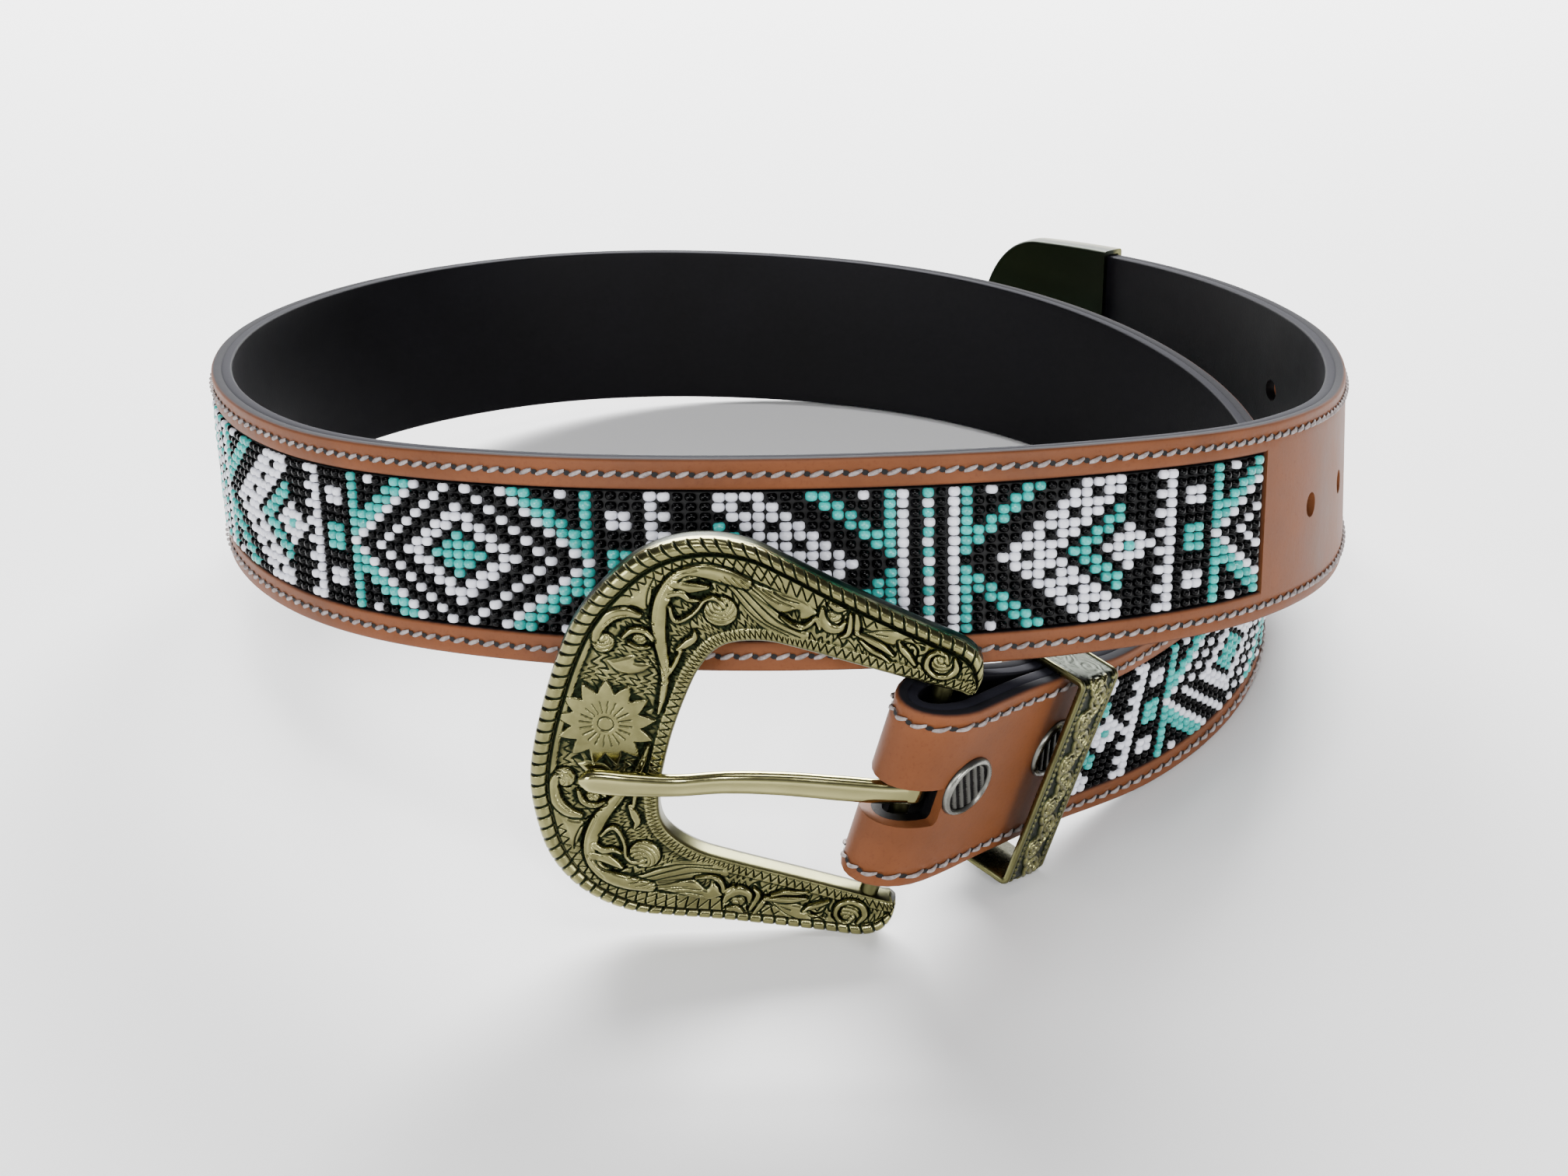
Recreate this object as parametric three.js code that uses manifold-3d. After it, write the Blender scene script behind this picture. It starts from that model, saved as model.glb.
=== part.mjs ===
// A western belt, unfastened and standing on its edge in a rising coil of one and a third turns.
// Its tan leather face has a long window for a band of bead work over a black lining. A cast brass
// buckle and its prong turn on a bar in the folded end, and a brass loop slides on the doubled
// leather. Millimetres, +Z up; the buckle end is at the front, toward -Y.
import * as THREE from 'three';
import { mergeVertices } from 'three/addons/utils/BufferGeometryUtils.js';
import Module from 'manifold-3d';

const wasm = await Module();
wasm.setup();

// Strap
const strapWidth = 38;
const faceThickness = 2.0;
const liningThickness = 2.0;
const gap = 0.3;
const leather = faceThickness + gap + liningThickness;

// Coil: overall plan size of the ellipse that the course follows
const ringWidth = 250;
const ringDepth = 224;

// Bead window in the face
const borderWidth = 5.5;
const windowStart = 37;
const windowLength = 740;
const beadProud = 0.5;

// Folded end, screws and prong slot
const eyeHalf = 3.0;
const eyeReach = 7.9;
const leafGap = 0.3;
const leafTaper = 20;
const leafLength = 38;
const screwFirst = 3.2;
const screwSpacing = 25.2;
const screwHead = 12;
const screwRise = 2.0;
const screwHeadHeight = 1.1;
const screwBack = 7;
const screwShank = 4;
const slotHeight = 8.2;
const slotDrop = 1.2;
const slotEndAngle = 8;

// Buckle
const buckleReach = 66;
const buckleHeight = 78.6;
const buckleDrop = 1.8;
const frameThickness = 4.4;
const frameBevel = 1.1;
const barRadius = 1.75;
const barSetBack = 3.5;
const barSkew = 2.5;
const buckleSwing = 43.5;
const ropeWidth = 3.4;
const ropeRise = 0.9;
const ropePitch = 2.35;
const reliefRise = 0.55;

// Prong
const prongLength = 58;
const prongWidth = 4.6;
const prongThickness = 2.8;
const prongSkew = 13.5;
const prongDrop = 0.6;
const prongEyeWall = 1.5;
const turnGap = 0.25;

// Keeper loop
const keeperAt = 27;
const keeperWidth = 12.4;
const keeperWall = 1.2;
const keeperFrontGap = 4.0;
const keeperBackGap = 1.7;
const keeperTopGap = 0.4;
const keeperBottomGap = 3.7;

// Metal tip and prong holes
const tipLength = 37;
const tipNose = 15;
const tipWall = 1.1;
const tipCover = 21;
const holeCount = 5;
const holePitch = 25;
const holeDiameter = 5;
const holeFromWindow = 21;

// Course of the outer face's lower edge. turn: degrees about the coil's centre; reach: share of
// the coil's half size; rise: share of the strap's width; lean: degrees that the top tips outward.
const course = [
  [-80.4, 1.079, 0.318, 9.0],
  [-72.4, 0.973, 0.208, 9.5],
  [-62.6, 0.888, 0.080, 8.0],
  [-47.0, 0.857, 0.004, 1.5],
  [-24.0, 0.845, 0.000, -1.5],
  [4.0, 0.835, 0.000, -0.5],
  [34.0, 0.840, 0.000, 3.2],
  [64.0, 0.871, 0.000, 8.2],
  [94.0, 0.924, 0.008, 12.8],
  [124.0, 0.974, 0.120, 13.2],
  [154.0, 0.995, 0.330, 8.2],
  [184.0, 0.986, 0.613, 0.2],
  [214.0, 0.964, 0.889, -6.9],
  [244.6, 0.955, 1.189, -14.6],
  [270.0, 0.971, 1.335, -17.1],
  [294.0, 0.984, 1.290, -16.1],
  [319.4, 0.964, 1.015, -11.5],
  [346.7, 0.954, 0.670, -6.5],
  [374.0, 0.978, 0.433, -0.4],
  [400.0, 1.016, 0.230, 5.6],
  [427.0, 1.085, 0.010, 12.5],
].map(([turn, reach, rise, lean]) => ({ turn, reach, rise, lean }));

// Half outline of the buckle frame. reach: share of buckleReach from the bar; side: share of half
// the buckle's height.
const outerOutline = [
  [-0.082, 0.600],
  [-0.084, 0.680],
  [-0.065, 0.760],
  [-0.015, 0.812],
  [0.094, 0.842],
  [0.233, 0.882],
  [0.373, 0.925],
  [0.513, 0.975],
  [0.606, 1.000],
  [0.707, 0.981],
  [0.800, 0.912],
  [0.879, 0.790],
  [0.940, 0.610],
  [0.979, 0.430],
  [0.996, 0.220],
  [1.000, 0.000],
];
const innerOutline = [
  [-0.060, 0.580],
  [0.100, 0.578],
  [0.233, 0.580],
  [0.388, 0.583],
  [0.482, 0.576],
  [0.560, 0.533],
  [0.603, 0.471],
  [0.627, 0.375],
  [0.640, 0.250],
  [0.648, 0.000],
];

// Scrolls in relief on one half of the frame. reach, side: start; heading: degrees from the left,
// positive outward; length: share of buckleReach; curl: degrees that it winds; width: share.
const scrolls = [
  { reach: 0.06, side: 0.62, heading: 12, length: 0.30, curl: 170, width: 0.045 },
  { reach: 0.22, side: 0.80, heading: -20, length: 0.26, curl: -190, width: 0.040 },
  { reach: 0.36, side: 0.66, heading: 30, length: 0.30, curl: 200, width: 0.045 },
  { reach: 0.54, side: 0.88, heading: -30, length: 0.30, curl: -210, width: 0.045 },
  { reach: 0.66, side: 0.62, heading: 60, length: 0.36, curl: 220, width: 0.050 },
  { reach: 0.72, side: 0.36, heading: 40, length: 0.30, curl: 200, width: 0.045 },
  { reach: 0.90, side: 0.36, heading: 150, length: 0.22, curl: -180, width: 0.040 },
];
const petalCount = 13;
const flowerReach = 0.825;
const flowerRadius = 8.8;
const flowerHeart = 2.1;
const flowerDrop = 1.3;

// Prong: along: share of prongLength; front: height of its centre line over the frame's mid plane,
// in prong thicknesses; width: share of prongWidth.
const prongStations = [
  { along: 0.00, front: 0.95, width: 0.95 },
  { along: 0.08, front: 1.08, width: 0.95 },
  { along: 0.20, front: 1.02, width: 1.02 },
  { along: 0.38, front: 0.86, width: 0.98 },
  { along: 0.55, front: 1.06, width: 0.92 },
  { along: 0.70, front: 1.74, width: 0.90 },
  { along: 0.84, front: 1.90, width: 1.00 },
  { along: 0.95, front: 1.80, width: 1.00 },
  { along: 1.00, front: 1.74, width: 0.55 },
];

const leatherTan = new THREE.MeshStandardMaterial({ color: 0xa9602f, roughness: 0.55 });
const leatherBlack = new THREE.MeshStandardMaterial({ color: 0x1a1920, roughness: 0.6 });
const beadColours = new THREE.MeshStandardMaterial({ color: 0x3fb8ab, roughness: 0.35 });
const brass = new THREE.MeshStandardMaterial({ color: 0xa89f5c, roughness: 0.35, metalness: 1 });
const brightBrass = new THREE.MeshStandardMaterial({ color: 0xb8b06a, roughness: 0.2, metalness: 1 });
const nickel = new THREE.MeshStandardMaterial({ color: 0x9a9a98, roughness: 0.3, metalness: 1 });

function hermite(a, b, c, d, t) {
  const startSlope = (c - a) / 2;
  const endSlope = (d - b) / 2;
  const t2 = t * t;
  const t3 = t2 * t;
  return (2 * t3 - 3 * t2 + 1) * b + (t3 - 2 * t2 + t) * startSlope
    + (3 * t2 - 2 * t3) * c + (t3 - t2) * endSlope;
}

function between(rows, key, u) {
  const last = rows.length - 1;
  const i = Math.min(Math.max(Math.floor(u), 0), last - 1);
  const here = rows[i][key];
  const next = rows[i + 1][key];
  const before = i > 0 ? rows[i - 1][key] : 2 * here - next;
  const after = i + 2 <= last ? rows[i + 2][key] : 2 * next - here;
  return hermite(before, here, next, after, u - i);
}

function coursePoint(u) {
  const turn = THREE.MathUtils.degToRad(between(course, 'turn', u));
  const reach = between(course, 'reach', u) / 2;
  return new THREE.Vector3(
    Math.cos(turn) * reach * ringWidth,
    Math.sin(turn) * reach * ringDepth,
    between(course, 'rise', u) * strapWidth,
  );
}

// Lengths along the course at evenly spaced parameters
const samplesPerRow = 60;
const smallestEdge = 0.004;
const courseLengths = [0];
for (let i = 1; i <= (course.length - 1) * samplesPerRow; i += 1) {
  const step = coursePoint(i / samplesPerRow).distanceTo(coursePoint((i - 1) / samplesPerRow));
  courseLengths.push(courseLengths[i - 1] + step);
}
const courseLength = courseLengths[courseLengths.length - 1];

function parameterAt(s) {
  let high = courseLengths.findIndex((length) => length >= s);
  if (high < 1) high = s <= 0 ? 1 : courseLengths.length - 1;
  const low = courseLengths[high - 1];
  return (high - 1 + (s - low) / (courseLengths[high] - low)) / samplesPerRow;
}

// Frame on the strap: along runs toward the tip, up across the strap, out through its tan face.
function frameAt(s) {
  const u = parameterAt(s);
  const lean = THREE.MathUtils.degToRad(between(course, 'lean', u));
  const along = coursePoint(u + 0.001).sub(coursePoint(u - 0.001)).normalize();
  const level = new THREE.Vector3(along.y, -along.x, 0).normalize();
  const upright = new THREE.Vector3().crossVectors(level, along);
  const up = upright.multiplyScalar(Math.cos(lean)).addScaledVector(level, Math.sin(lean));
  const out = new THREE.Vector3().crossVectors(along, up);
  return { point: coursePoint(u), along, up, out };
}

function place({ point, along, up, out }, s, w, n) {
  return point.clone().addScaledVector(along, s).addScaledVector(up, w).addScaledVector(out, n);
}

// Space between the front leather and the leaf folded back behind it
function leafSpace(s) {
  const open = 1 - THREE.MathUtils.smoothstep(s, 0, leafTaper);
  return leafGap + (2 * eyeHalf - leafGap) * open;
}

// A point of the folded leather. v runs along it: above 0 on the front, from 0 to -foldLength
// round the eye, and below that back along the leaf. depth is measured in from the tan face.
const foldLength = (Math.PI / 2) * (eyeReach + eyeHalf + leather);
function skin(v, w, depth) {
  if (v >= 0) return place(frameAt(v), 0, w, -depth);
  const thick = leather - depth;
  if (v > -foldLength) {
    const angle = (-v / foldLength) * Math.PI;
    const s = -(eyeReach + thick) * Math.sin(angle);
    const n = -(leather + eyeHalf) + (eyeHalf + thick) * Math.cos(angle);
    return place(frameAt(0), s, w, n);
  }
  const s = -v - foldLength;
  return place(frameAt(s), 0, w, -(leather + leafSpace(s) + thick));
}

// Side faces between two rings of points, along a loop of their numbers. The two halves of a loop
// are split along matching diagonals, so that twisted strips laid on each other stay parallel.
function sides(index, here, next, loop) {
  loop.forEach((j, at) => {
    const k = loop[(at + 1) % loop.length];
    if (at < loop.length / 2) index.push(here + j, here + k, next + k, here + j, next + k, next + j);
    else index.push(here + j, here + k, next + j, here + k, next + k, next + j);
  });
}

function meshed(rings, index) {
  const positions = rings.flat().flatMap((p) => [p.x, p.y, p.z]);
  if (signedVolume(positions, index) < 0) index.reverse();
  const geometry = new THREE.BufferGeometry();
  geometry.setAttribute('position', new THREE.Float32BufferAttribute(positions, 3));
  geometry.setIndex(index);
  return geometry;
}

// Closed body through rings of points, with flat ends
function loft(rings) {
  const count = rings[0].length;
  const loop = [...rings[0].keys()];
  const index = [];
  for (let i = 0; i < rings.length - 1; i += 1) sides(index, i * count, (i + 1) * count, loop);
  const end = (rings.length - 1) * count;
  for (let j = 1; j < count - 1; j += 1) index.push(0, j + 1, j, end, end + j, end + j + 1);
  return meshed(rings, index);
}

function signedVolume(positions, index) {
  const corner = (i) => new THREE.Vector3().fromArray(positions, index[i] * 3);
  let volume = 0;
  for (let i = 0; i < index.length; i += 3) {
    volume += corner(i).dot(corner(i + 1).cross(corner(i + 2)));
  }
  return volume;
}

function solid(geometry) {
  const bare = geometry.clone();
  bare.deleteAttribute('normal');
  bare.deleteAttribute('uv');
  const merged = mergeVertices(bare, 1e-4);
  return new wasm.Manifold(new wasm.Mesh({
    numProp: 3,
    vertProperties: new Float32Array(merged.attributes.position.array),
    triVerts: new Uint32Array(merged.index.array),
  }));
}

function geometryOf(manifold) {
  const mesh = manifold.asOriginal().simplify(smallestEdge).getMesh();
  const geometry = new THREE.BufferGeometry();
  geometry.setAttribute('position', new THREE.BufferAttribute(mesh.vertProperties, 3));
  geometry.setIndex(new THREE.BufferAttribute(mesh.triVerts, 1));
  return geometry;
}

function steps(from, to, size) {
  const count = Math.max(1, Math.ceil((to - from) / size));
  return Array.from({ length: count + 1 }, (_, i) => from + ((to - from) * i) / count);
}

// Strip of leather between two places, two heights and two depths
function strip(stations, low, high, top, bottom) {
  return loft(stations.map((v) => [
    skin(v, low, top),
    skin(v, high, top),
    skin(v, high, bottom),
    skin(v, low, bottom),
  ]));
}

const curveStep = 11;
const fineStep = 6;
const foldStep = foldLength / 12;
const leafEnd = -foldLength - leafLength;
const strapEnd = courseLength - tipLength + tipCover;
const windowEnd = windowStart + windowLength;

const foldStations = [
  ...steps(leafEnd, -foldLength, fineStep).slice(0, -1),
  ...steps(-foldLength, 0, foldStep).slice(0, -1),
  ...steps(0, windowStart, fineStep),
];
const windowStations = steps(windowStart, windowEnd, curveStep);
const endStations = steps(windowEnd, strapEnd, curveStep);

// Cylinder with its axis from one point to another
function rod(from, to, radius, sides) {
  const geometry = new THREE.CylinderGeometry(radius, radius, from.distanceTo(to), sides);
  const middle = from.clone().add(to).multiplyScalar(0.5);
  const turn = new THREE.Quaternion().setFromUnitVectors(
    new THREE.Vector3(0, 1, 0),
    to.clone().sub(from).normalize(),
  );
  return geometry.applyQuaternion(turn).translate(middle.x, middle.y, middle.z);
}

function across(s, radius, sides) {
  const middle = strapWidth / 2 + screwRise;
  const deep = 2 * leather + leafGap;
  return solid(rod(place(frameAt(s), 0, middle, leather), place(frameAt(s), 0, middle, -2 * deep), radius, sides));
}

function prongHole(number) {
  const s = windowEnd + holeFromWindow + number * holePitch;
  const middle = strapWidth / 2;
  const front = place(frameAt(s), 0, middle, leather);
  const back = place(frameAt(s), 0, middle, -2 * leather);
  return solid(rod(front, back, holeDiameter / 2, 12));
}

function slotCutter() {
  const end = (slotEndAngle / 180) * foldLength;
  const middle = strapWidth / 2 - slotDrop;
  const stations = steps(-foldLength + end, -end, foldStep);
  return solid(strip(stations, middle - slotHeight / 2, middle + slotHeight / 2, -gap, leather + gap));
}

function cutLeather(body) {
  let cut = body.subtract(slotCutter());
  for (const s of [screwFirst, screwFirst + screwSpacing]) {
    cut = cut.subtract(across(s, screwShank / 2 + gap, 12));
  }
  for (let i = 0; i < holeCount; i += 1) cut = cut.subtract(prongHole(i));
  return cut;
}

const strapStations = [...foldStations, ...windowStations.slice(1, -1), ...endStations];

// The tan face: whole at the fold and at the holes, with two borders beside the window between
function strapFace() {
  const heights = [0, borderWidth, strapWidth - borderWidth, strapWidth];
  const rings = strapStations.map((v) => [
    ...heights.map((w) => skin(v, w, 0)),
    ...heights.map((w) => skin(v, w, faceThickness)).reverse(),
  ]);
  const first = foldStations.length - 1;
  const last = first + windowStations.length - 1;
  const index = [];
  for (let i = 0; i < rings.length - 1; i += 1) {
    const loops = i >= first && i < last ? [[0, 1, 6, 7], [2, 3, 4, 5]] : [[0, 1, 2, 3, 4, 5, 6, 7]];
    for (const loop of loops) sides(index, 8 * i, 8 * (i + 1), loop);
  }
  const end = 8 * (rings.length - 1);
  for (let j = 1; j < 7; j += 1) index.push(0, j + 1, j, end, end + j, end + j + 1);
  for (const j of [2, 5]) {
    index.push(8 * first + 1, 8 * first + j, 8 * first + (j === 2 ? 5 : 6));
    index.push(8 * last + 1, 8 * last + (j === 2 ? 5 : 6), 8 * last + j);
  }
  return geometryOf(cutLeather(solid(meshed(rings, index))));
}

function strapLining() {
  return geometryOf(cutLeather(solid(strip(strapStations, 0, strapWidth, faceThickness + gap, leather))));
}

function beadBand() {
  return strip(
    steps(windowStart + gap, windowEnd - gap, curveStep),
    borderWidth + gap,
    strapWidth - borderWidth - gap,
    -beadProud,
    faceThickness,
  );
}

// Two-part screw through the doubled leather: domed head in front, flat head behind
function screw(s) {
  const frame = frameAt(s);
  const behind = 2 * leather + leafSpace(s - screwBack / 2);
  const profile = [
    [0, screwHeadHeight],
    [0.30 * screwHead, screwHeadHeight],
    [0.46 * screwHead, 0.75 * screwHeadHeight],
    [0.50 * screwHead, gap],
    [screwShank / 2, gap],
    [screwShank / 2, -behind - gap],
    [screwBack / 2, -behind - gap],
    [screwBack / 2, -behind - screwHeadHeight],
    [0, -behind - screwHeadHeight],
  ].map(([x, y]) => new THREE.Vector2(x, y));
  const basis = new THREE.Matrix4().makeBasis(frame.along, frame.out, frame.along.clone().cross(frame.out));
  const middle = place(frame, 0, strapWidth / 2 + screwRise, 0);
  const lathe = new THREE.LatheGeometry(profile.reverse(), 14);
  return geometryOf(solid(lathe.applyMatrix4(basis.setPosition(middle))));
}

function rectangle(frame, s, lowW, highW, lowN, highN) {
  return [
    place(frame, s, lowW, lowN),
    place(frame, s, highW, lowN),
    place(frame, s, highW, highN),
    place(frame, s, lowW, highN),
  ];
}

// Rectangular loop round the doubled strap, resting on its upper edge
function keeper() {
  const frame = frameAt(keeperAt);
  const high = strapWidth + keeperTopGap;
  const low = -keeperBottomGap;
  const front = keeperFrontGap;
  const back = -(2 * leather + leafGap + keeperBackGap);
  const half = keeperWidth / 2;
  const wall = keeperWall;
  const outside = loft([-half, half].map((s) => rectangle(frame, s, low - wall, high + wall, back - wall, front + wall)));
  const inside = loft([-half - wall, half + wall].map((s) => rectangle(frame, s, low, high, back, front)));
  let body = solid(outside).subtract(solid(inside));
  const ribs = Math.round((high - low) / ropePitch);
  for (let i = 0; i < ribs; i += 1) {
    const w = low + ((high - low) * (i + 0.5)) / ribs;
    for (const side of [-1, 1]) {
      const edge = side * (half - wall);
      const base = place(frame, edge, w, front + wall);
      const rib = new THREE.BoxGeometry(0.5 * ropePitch, 1.5 * wall, 2 * reliefRise);
      const basis = new THREE.Matrix4().makeBasis(frame.up, frame.along.clone().negate(), frame.out);
      rib.rotateZ(side * 0.5).applyMatrix4(basis.setPosition(base));
      body = body.add(solid(rib));
    }
  }
  return geometryOf(body);
}

// Metal sleeve over the strap's end, closed by a rounded nose. grow is how far a section stands
// off the leather.
function tipBody(from, grow) {
  const noseStart = courseLength - tipNose;
  const stations = steps(from, noseStart, fineStep);
  const reach = tipNose + grow - tipWall - gap;
  for (const share of [0.3, 0.55, 0.75, 0.9, 0.97, 1]) stations.push(noseStart + share * reach);
  return solid(loft(stations.map((s) => {
    const share = Math.max(0, (s - noseStart) / reach);
    const half = (strapWidth / 2 + grow) * Math.sqrt(Math.max(0.015, 1 - share * share));
    return [
      skin(s, strapWidth / 2 - half, -grow),
      skin(s, strapWidth / 2 + half, -grow),
      skin(s, strapWidth / 2 + half, leather + grow),
      skin(s, strapWidth / 2 - half, leather + grow),
    ];
  })));
}

function beltTip() {
  const start = courseLength - tipLength;
  return geometryOf(tipBody(start, tipWall + gap).subtract(tipBody(start - tipWall, gap)));
}

// Frame of the buckle: origin on the bar, x to the right, y up along the bar, z to the front
function buckleMatrix() {
  const frame = frameAt(0);
  const skew = THREE.MathUtils.degToRad(barSkew);
  const swing = THREE.MathUtils.degToRad(buckleSwing);
  const bar = frame.up.clone().multiplyScalar(Math.cos(skew)).addScaledVector(frame.along, Math.sin(skew));
  const ahead = frame.up.clone().multiplyScalar(Math.sin(skew)).addScaledVector(frame.along, -Math.cos(skew));
  const left = ahead.multiplyScalar(Math.cos(swing)).addScaledVector(frame.out, -Math.sin(swing));
  const right = left.negate();
  const middle = place(frame, -barSetBack, strapWidth / 2, -leather - eyeHalf);
  return new THREE.Matrix4().makeBasis(right, bar, right.clone().cross(bar)).setPosition(middle);
}

function framePoint([reach, side]) {
  return new THREE.Vector2(-reach * buckleReach, (side * buckleHeight) / 2);
}

function mirrored(outline) {
  const upper = outline.map(framePoint);
  const lower = upper.slice(0, -1).map((p) => new THREE.Vector2(p.x, -p.y)).reverse();
  return [...upper, ...lower];
}

const outerCurve = new THREE.SplineCurve(mirrored(outerOutline));
const innerCurve = new THREE.SplineCurve(mirrored(innerOutline));
const framePlan = [...outerCurve.getSpacedPoints(56), ...innerCurve.getSpacedPoints(36).reverse()];

function frameBody() {
  const body = new THREE.ExtrudeGeometry(new THREE.Shape(framePlan), {
    depth: frameThickness - 2 * frameBevel,
    bevelThickness: frameBevel,
    bevelSize: frameBevel,
    bevelOffset: -frameBevel,
    bevelSegments: 1,
    curveSegments: 1,
  });
  return solid(body.translate(0, 0, -frameThickness / 2 + frameBevel));
}

// Rope edge: a ridge along the outer rim whose height rises and falls once for each strand
function ropeEdge() {
  const strands = Math.round(outerCurve.getLength() / ropePitch);
  const rings = [];
  for (let i = 1; i < 2 * strands; i += 1) {
    const t = i / (2 * strands);
    const p = outerCurve.getPointAt(t);
    const along = outerCurve.getTangentAt(t);
    const inward = new THREE.Vector2(along.y, -along.x);
    if (inward.dot(new THREE.Vector2(-0.5 * buckleReach, 0).sub(p)) < 0) inward.negate();
    const top = frameThickness / 2 + (i % 2 ? ropeRise : 0.35 * ropeRise);
    const foot = frameThickness / 4;
    const slant = 0.4 * ropePitch;
    rings.push([[0.15, 0.8, foot], [0.35, 0.6, top], [0.85, -0.4, top], [1.1, -0.8, foot]].map(([share, lag, z]) => {
      const q = p.clone().addScaledVector(inward, share * ropeWidth).addScaledVector(along, lag * slant);
      return new THREE.Vector3(q.x, q.y, z);
    }));
  }
  return solid(loft(rings));
}

// Raised ridge along a line of plan points, tapering to its far end
function ridge(points, width) {
  return solid(loft(points.map((p, i) => {
    const before = points[Math.max(i - 1, 0)];
    const after = points[Math.min(i + 1, points.length - 1)];
    const along = after.clone().sub(before).normalize();
    const share = i / (points.length - 1);
    const half = (width / 2) * (0.35 + 0.65 * Math.sin(Math.PI * Math.min(0.85, 0.15 + share * 0.7)));
    const top = frameThickness / 2 + reliefRise;
    return [[-1, 0], [-1, frameThickness / 2 - 0.4], [-0.35, top], [0.35, top], [1, frameThickness / 2 - 0.4], [1, 0]].map(
      ([side, z]) => new THREE.Vector3(p.x - along.y * side * half, p.y + along.x * side * half, z),
    );
  })));
}

function scrollPoints({ reach, side, heading, length, curl }, mirror) {
  const count = 7;
  const p = framePoint([reach, side]);
  const points = [p.clone()];
  for (let i = 0; i < count; i += 1) {
    const share = (i + 0.5) / count;
    const angle = THREE.MathUtils.degToRad(heading + curl * share * share);
    const step = (length * buckleReach * (1.5 - share)) / count;
    p.add(new THREE.Vector2(-Math.cos(angle), Math.sin(angle)).multiplyScalar(step));
    points.push(p.clone());
  }
  return points.map((q) => new THREE.Vector2(q.x, q.y * mirror));
}

function flower() {
  const heart = framePoint([flowerReach, 0]).sub(new THREE.Vector2(0, flowerDrop));
  const top = frameThickness / 2;
  let body = solid(new THREE.CylinderGeometry(0.7 * flowerHeart, flowerHeart, 2 * reliefRise, 12)
    .rotateX(Math.PI / 2).translate(heart.x, heart.y, top + reliefRise / 2));
  for (let i = 0; i < petalCount; i += 1) {
    const angle = (i / petalCount) * 2 * Math.PI;
    const along = new THREE.Vector2(Math.cos(angle), Math.sin(angle));
    const points = [0.2, 0.62, 0.8, 1].map((share) => heart.clone().addScaledVector(along, share * flowerRadius));
    body = body.add(ridge(points, (3.4 * flowerRadius) / petalCount));
  }
  return body;
}

function buckleFrame() {
  const reach = (innerOutline[0][1] * buckleHeight) / 2 + frameBevel;
  const bar = rod(new THREE.Vector3(0, -reach - 1, 0), new THREE.Vector3(0, reach + 1, 0), barRadius, 16);
  let relief = flower();
  for (const scroll of scrolls) {
    for (const mirror of [-1, 1]) {
      relief = relief.add(ridge(scrollPoints(scroll, mirror), scroll.width * buckleReach));
    }
  }
  const prism = new THREE.ExtrudeGeometry(new THREE.Shape(framePlan), { depth: frameThickness, bevelEnabled: false });
  const clipped = relief.intersect(solid(prism));
  const body = frameBody().add(ropeEdge()).add(solid(bar)).add(clipped);
  return geometryOf(body).translate(0, -buckleDrop, 0).applyMatrix4(buckleMatrix());
}

// Prong: an eye round the bar and a shank that dips through the frame and rests on its far rim
function prong() {
  const inside = barRadius + turnGap;
  const outside = inside + prongEyeWall;
  const half = prongWidth / 2;
  const profile = [[inside, -half], [outside, -half], [outside, half], [inside, half], [inside, -half]];
  const eye = new THREE.LatheGeometry(profile.map(([x, y]) => new THREE.Vector2(x, y)), 16);
  const skew = THREE.MathUtils.degToRad(prongSkew);
  const rings = steps(0, prongStations.length - 1, 1 / 2).map((u) => {
    const along = between(prongStations, 'along', u) * prongLength;
    const front = between(prongStations, 'front', u) * prongThickness;
    const width = between(prongStations, 'width', u) * half;
    const thick = (prongThickness / 2) * Math.min(1, 0.55 + width / prongWidth);
    return steps(0, 2 * Math.PI, Math.PI / 4).slice(0, -1).map((angle) => {
      const side = width * Math.cos(angle);
      return new THREE.Vector3(
        -along * Math.cos(skew) + side * Math.sin(skew),
        -along * Math.sin(skew) - side * Math.cos(skew),
        front + thick * Math.sin(angle),
      );
    });
  });
  const hole = rod(new THREE.Vector3(0, -prongWidth, 0), new THREE.Vector3(0, prongWidth, 0), inside, 16);
  const shank = solid(loft(rings)).subtract(solid(hole));
  return geometryOf(solid(eye).add(shank)).translate(0, -prongDrop, 0).applyMatrix4(buckleMatrix());
}

function piece(name, geometry, material) {
  geometry.computeVertexNormals();
  const mesh = new THREE.Mesh(geometry, material);
  mesh.name = name;
  return mesh;
}

const belt = new THREE.Group();
belt.name = 'beaded_belt';
belt.add(
  piece('strap_face', strapFace(), leatherTan),
  piece('strap_lining', strapLining(), leatherBlack),
  piece('bead_band', beadBand(), beadColours),
  piece('buckle_frame', buckleFrame(), brass),
  piece('prong', prong(), brightBrass),
  piece('keeper', keeper(), brass),
  piece('screw_1', screw(screwFirst), nickel),
  piece('screw_2', screw(screwFirst + screwSpacing), nickel),
  piece('belt_tip', beltTip(), brass),
);

// Stand the whole on z = 0 with its plan centred on the origin
const box = new THREE.Box3().setFromObject(belt);
const middle = box.getCenter(new THREE.Vector3());
belt.position.set(-middle.x, -middle.y, -box.min.z);

export default belt;
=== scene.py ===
# Looks for the beaded belt: fine leather, a band of glass beads, stitches, cast and engraved brass.
# Sizes are in millimetres, as in the model, and are turned into metres when a mesh is made.
import math

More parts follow.
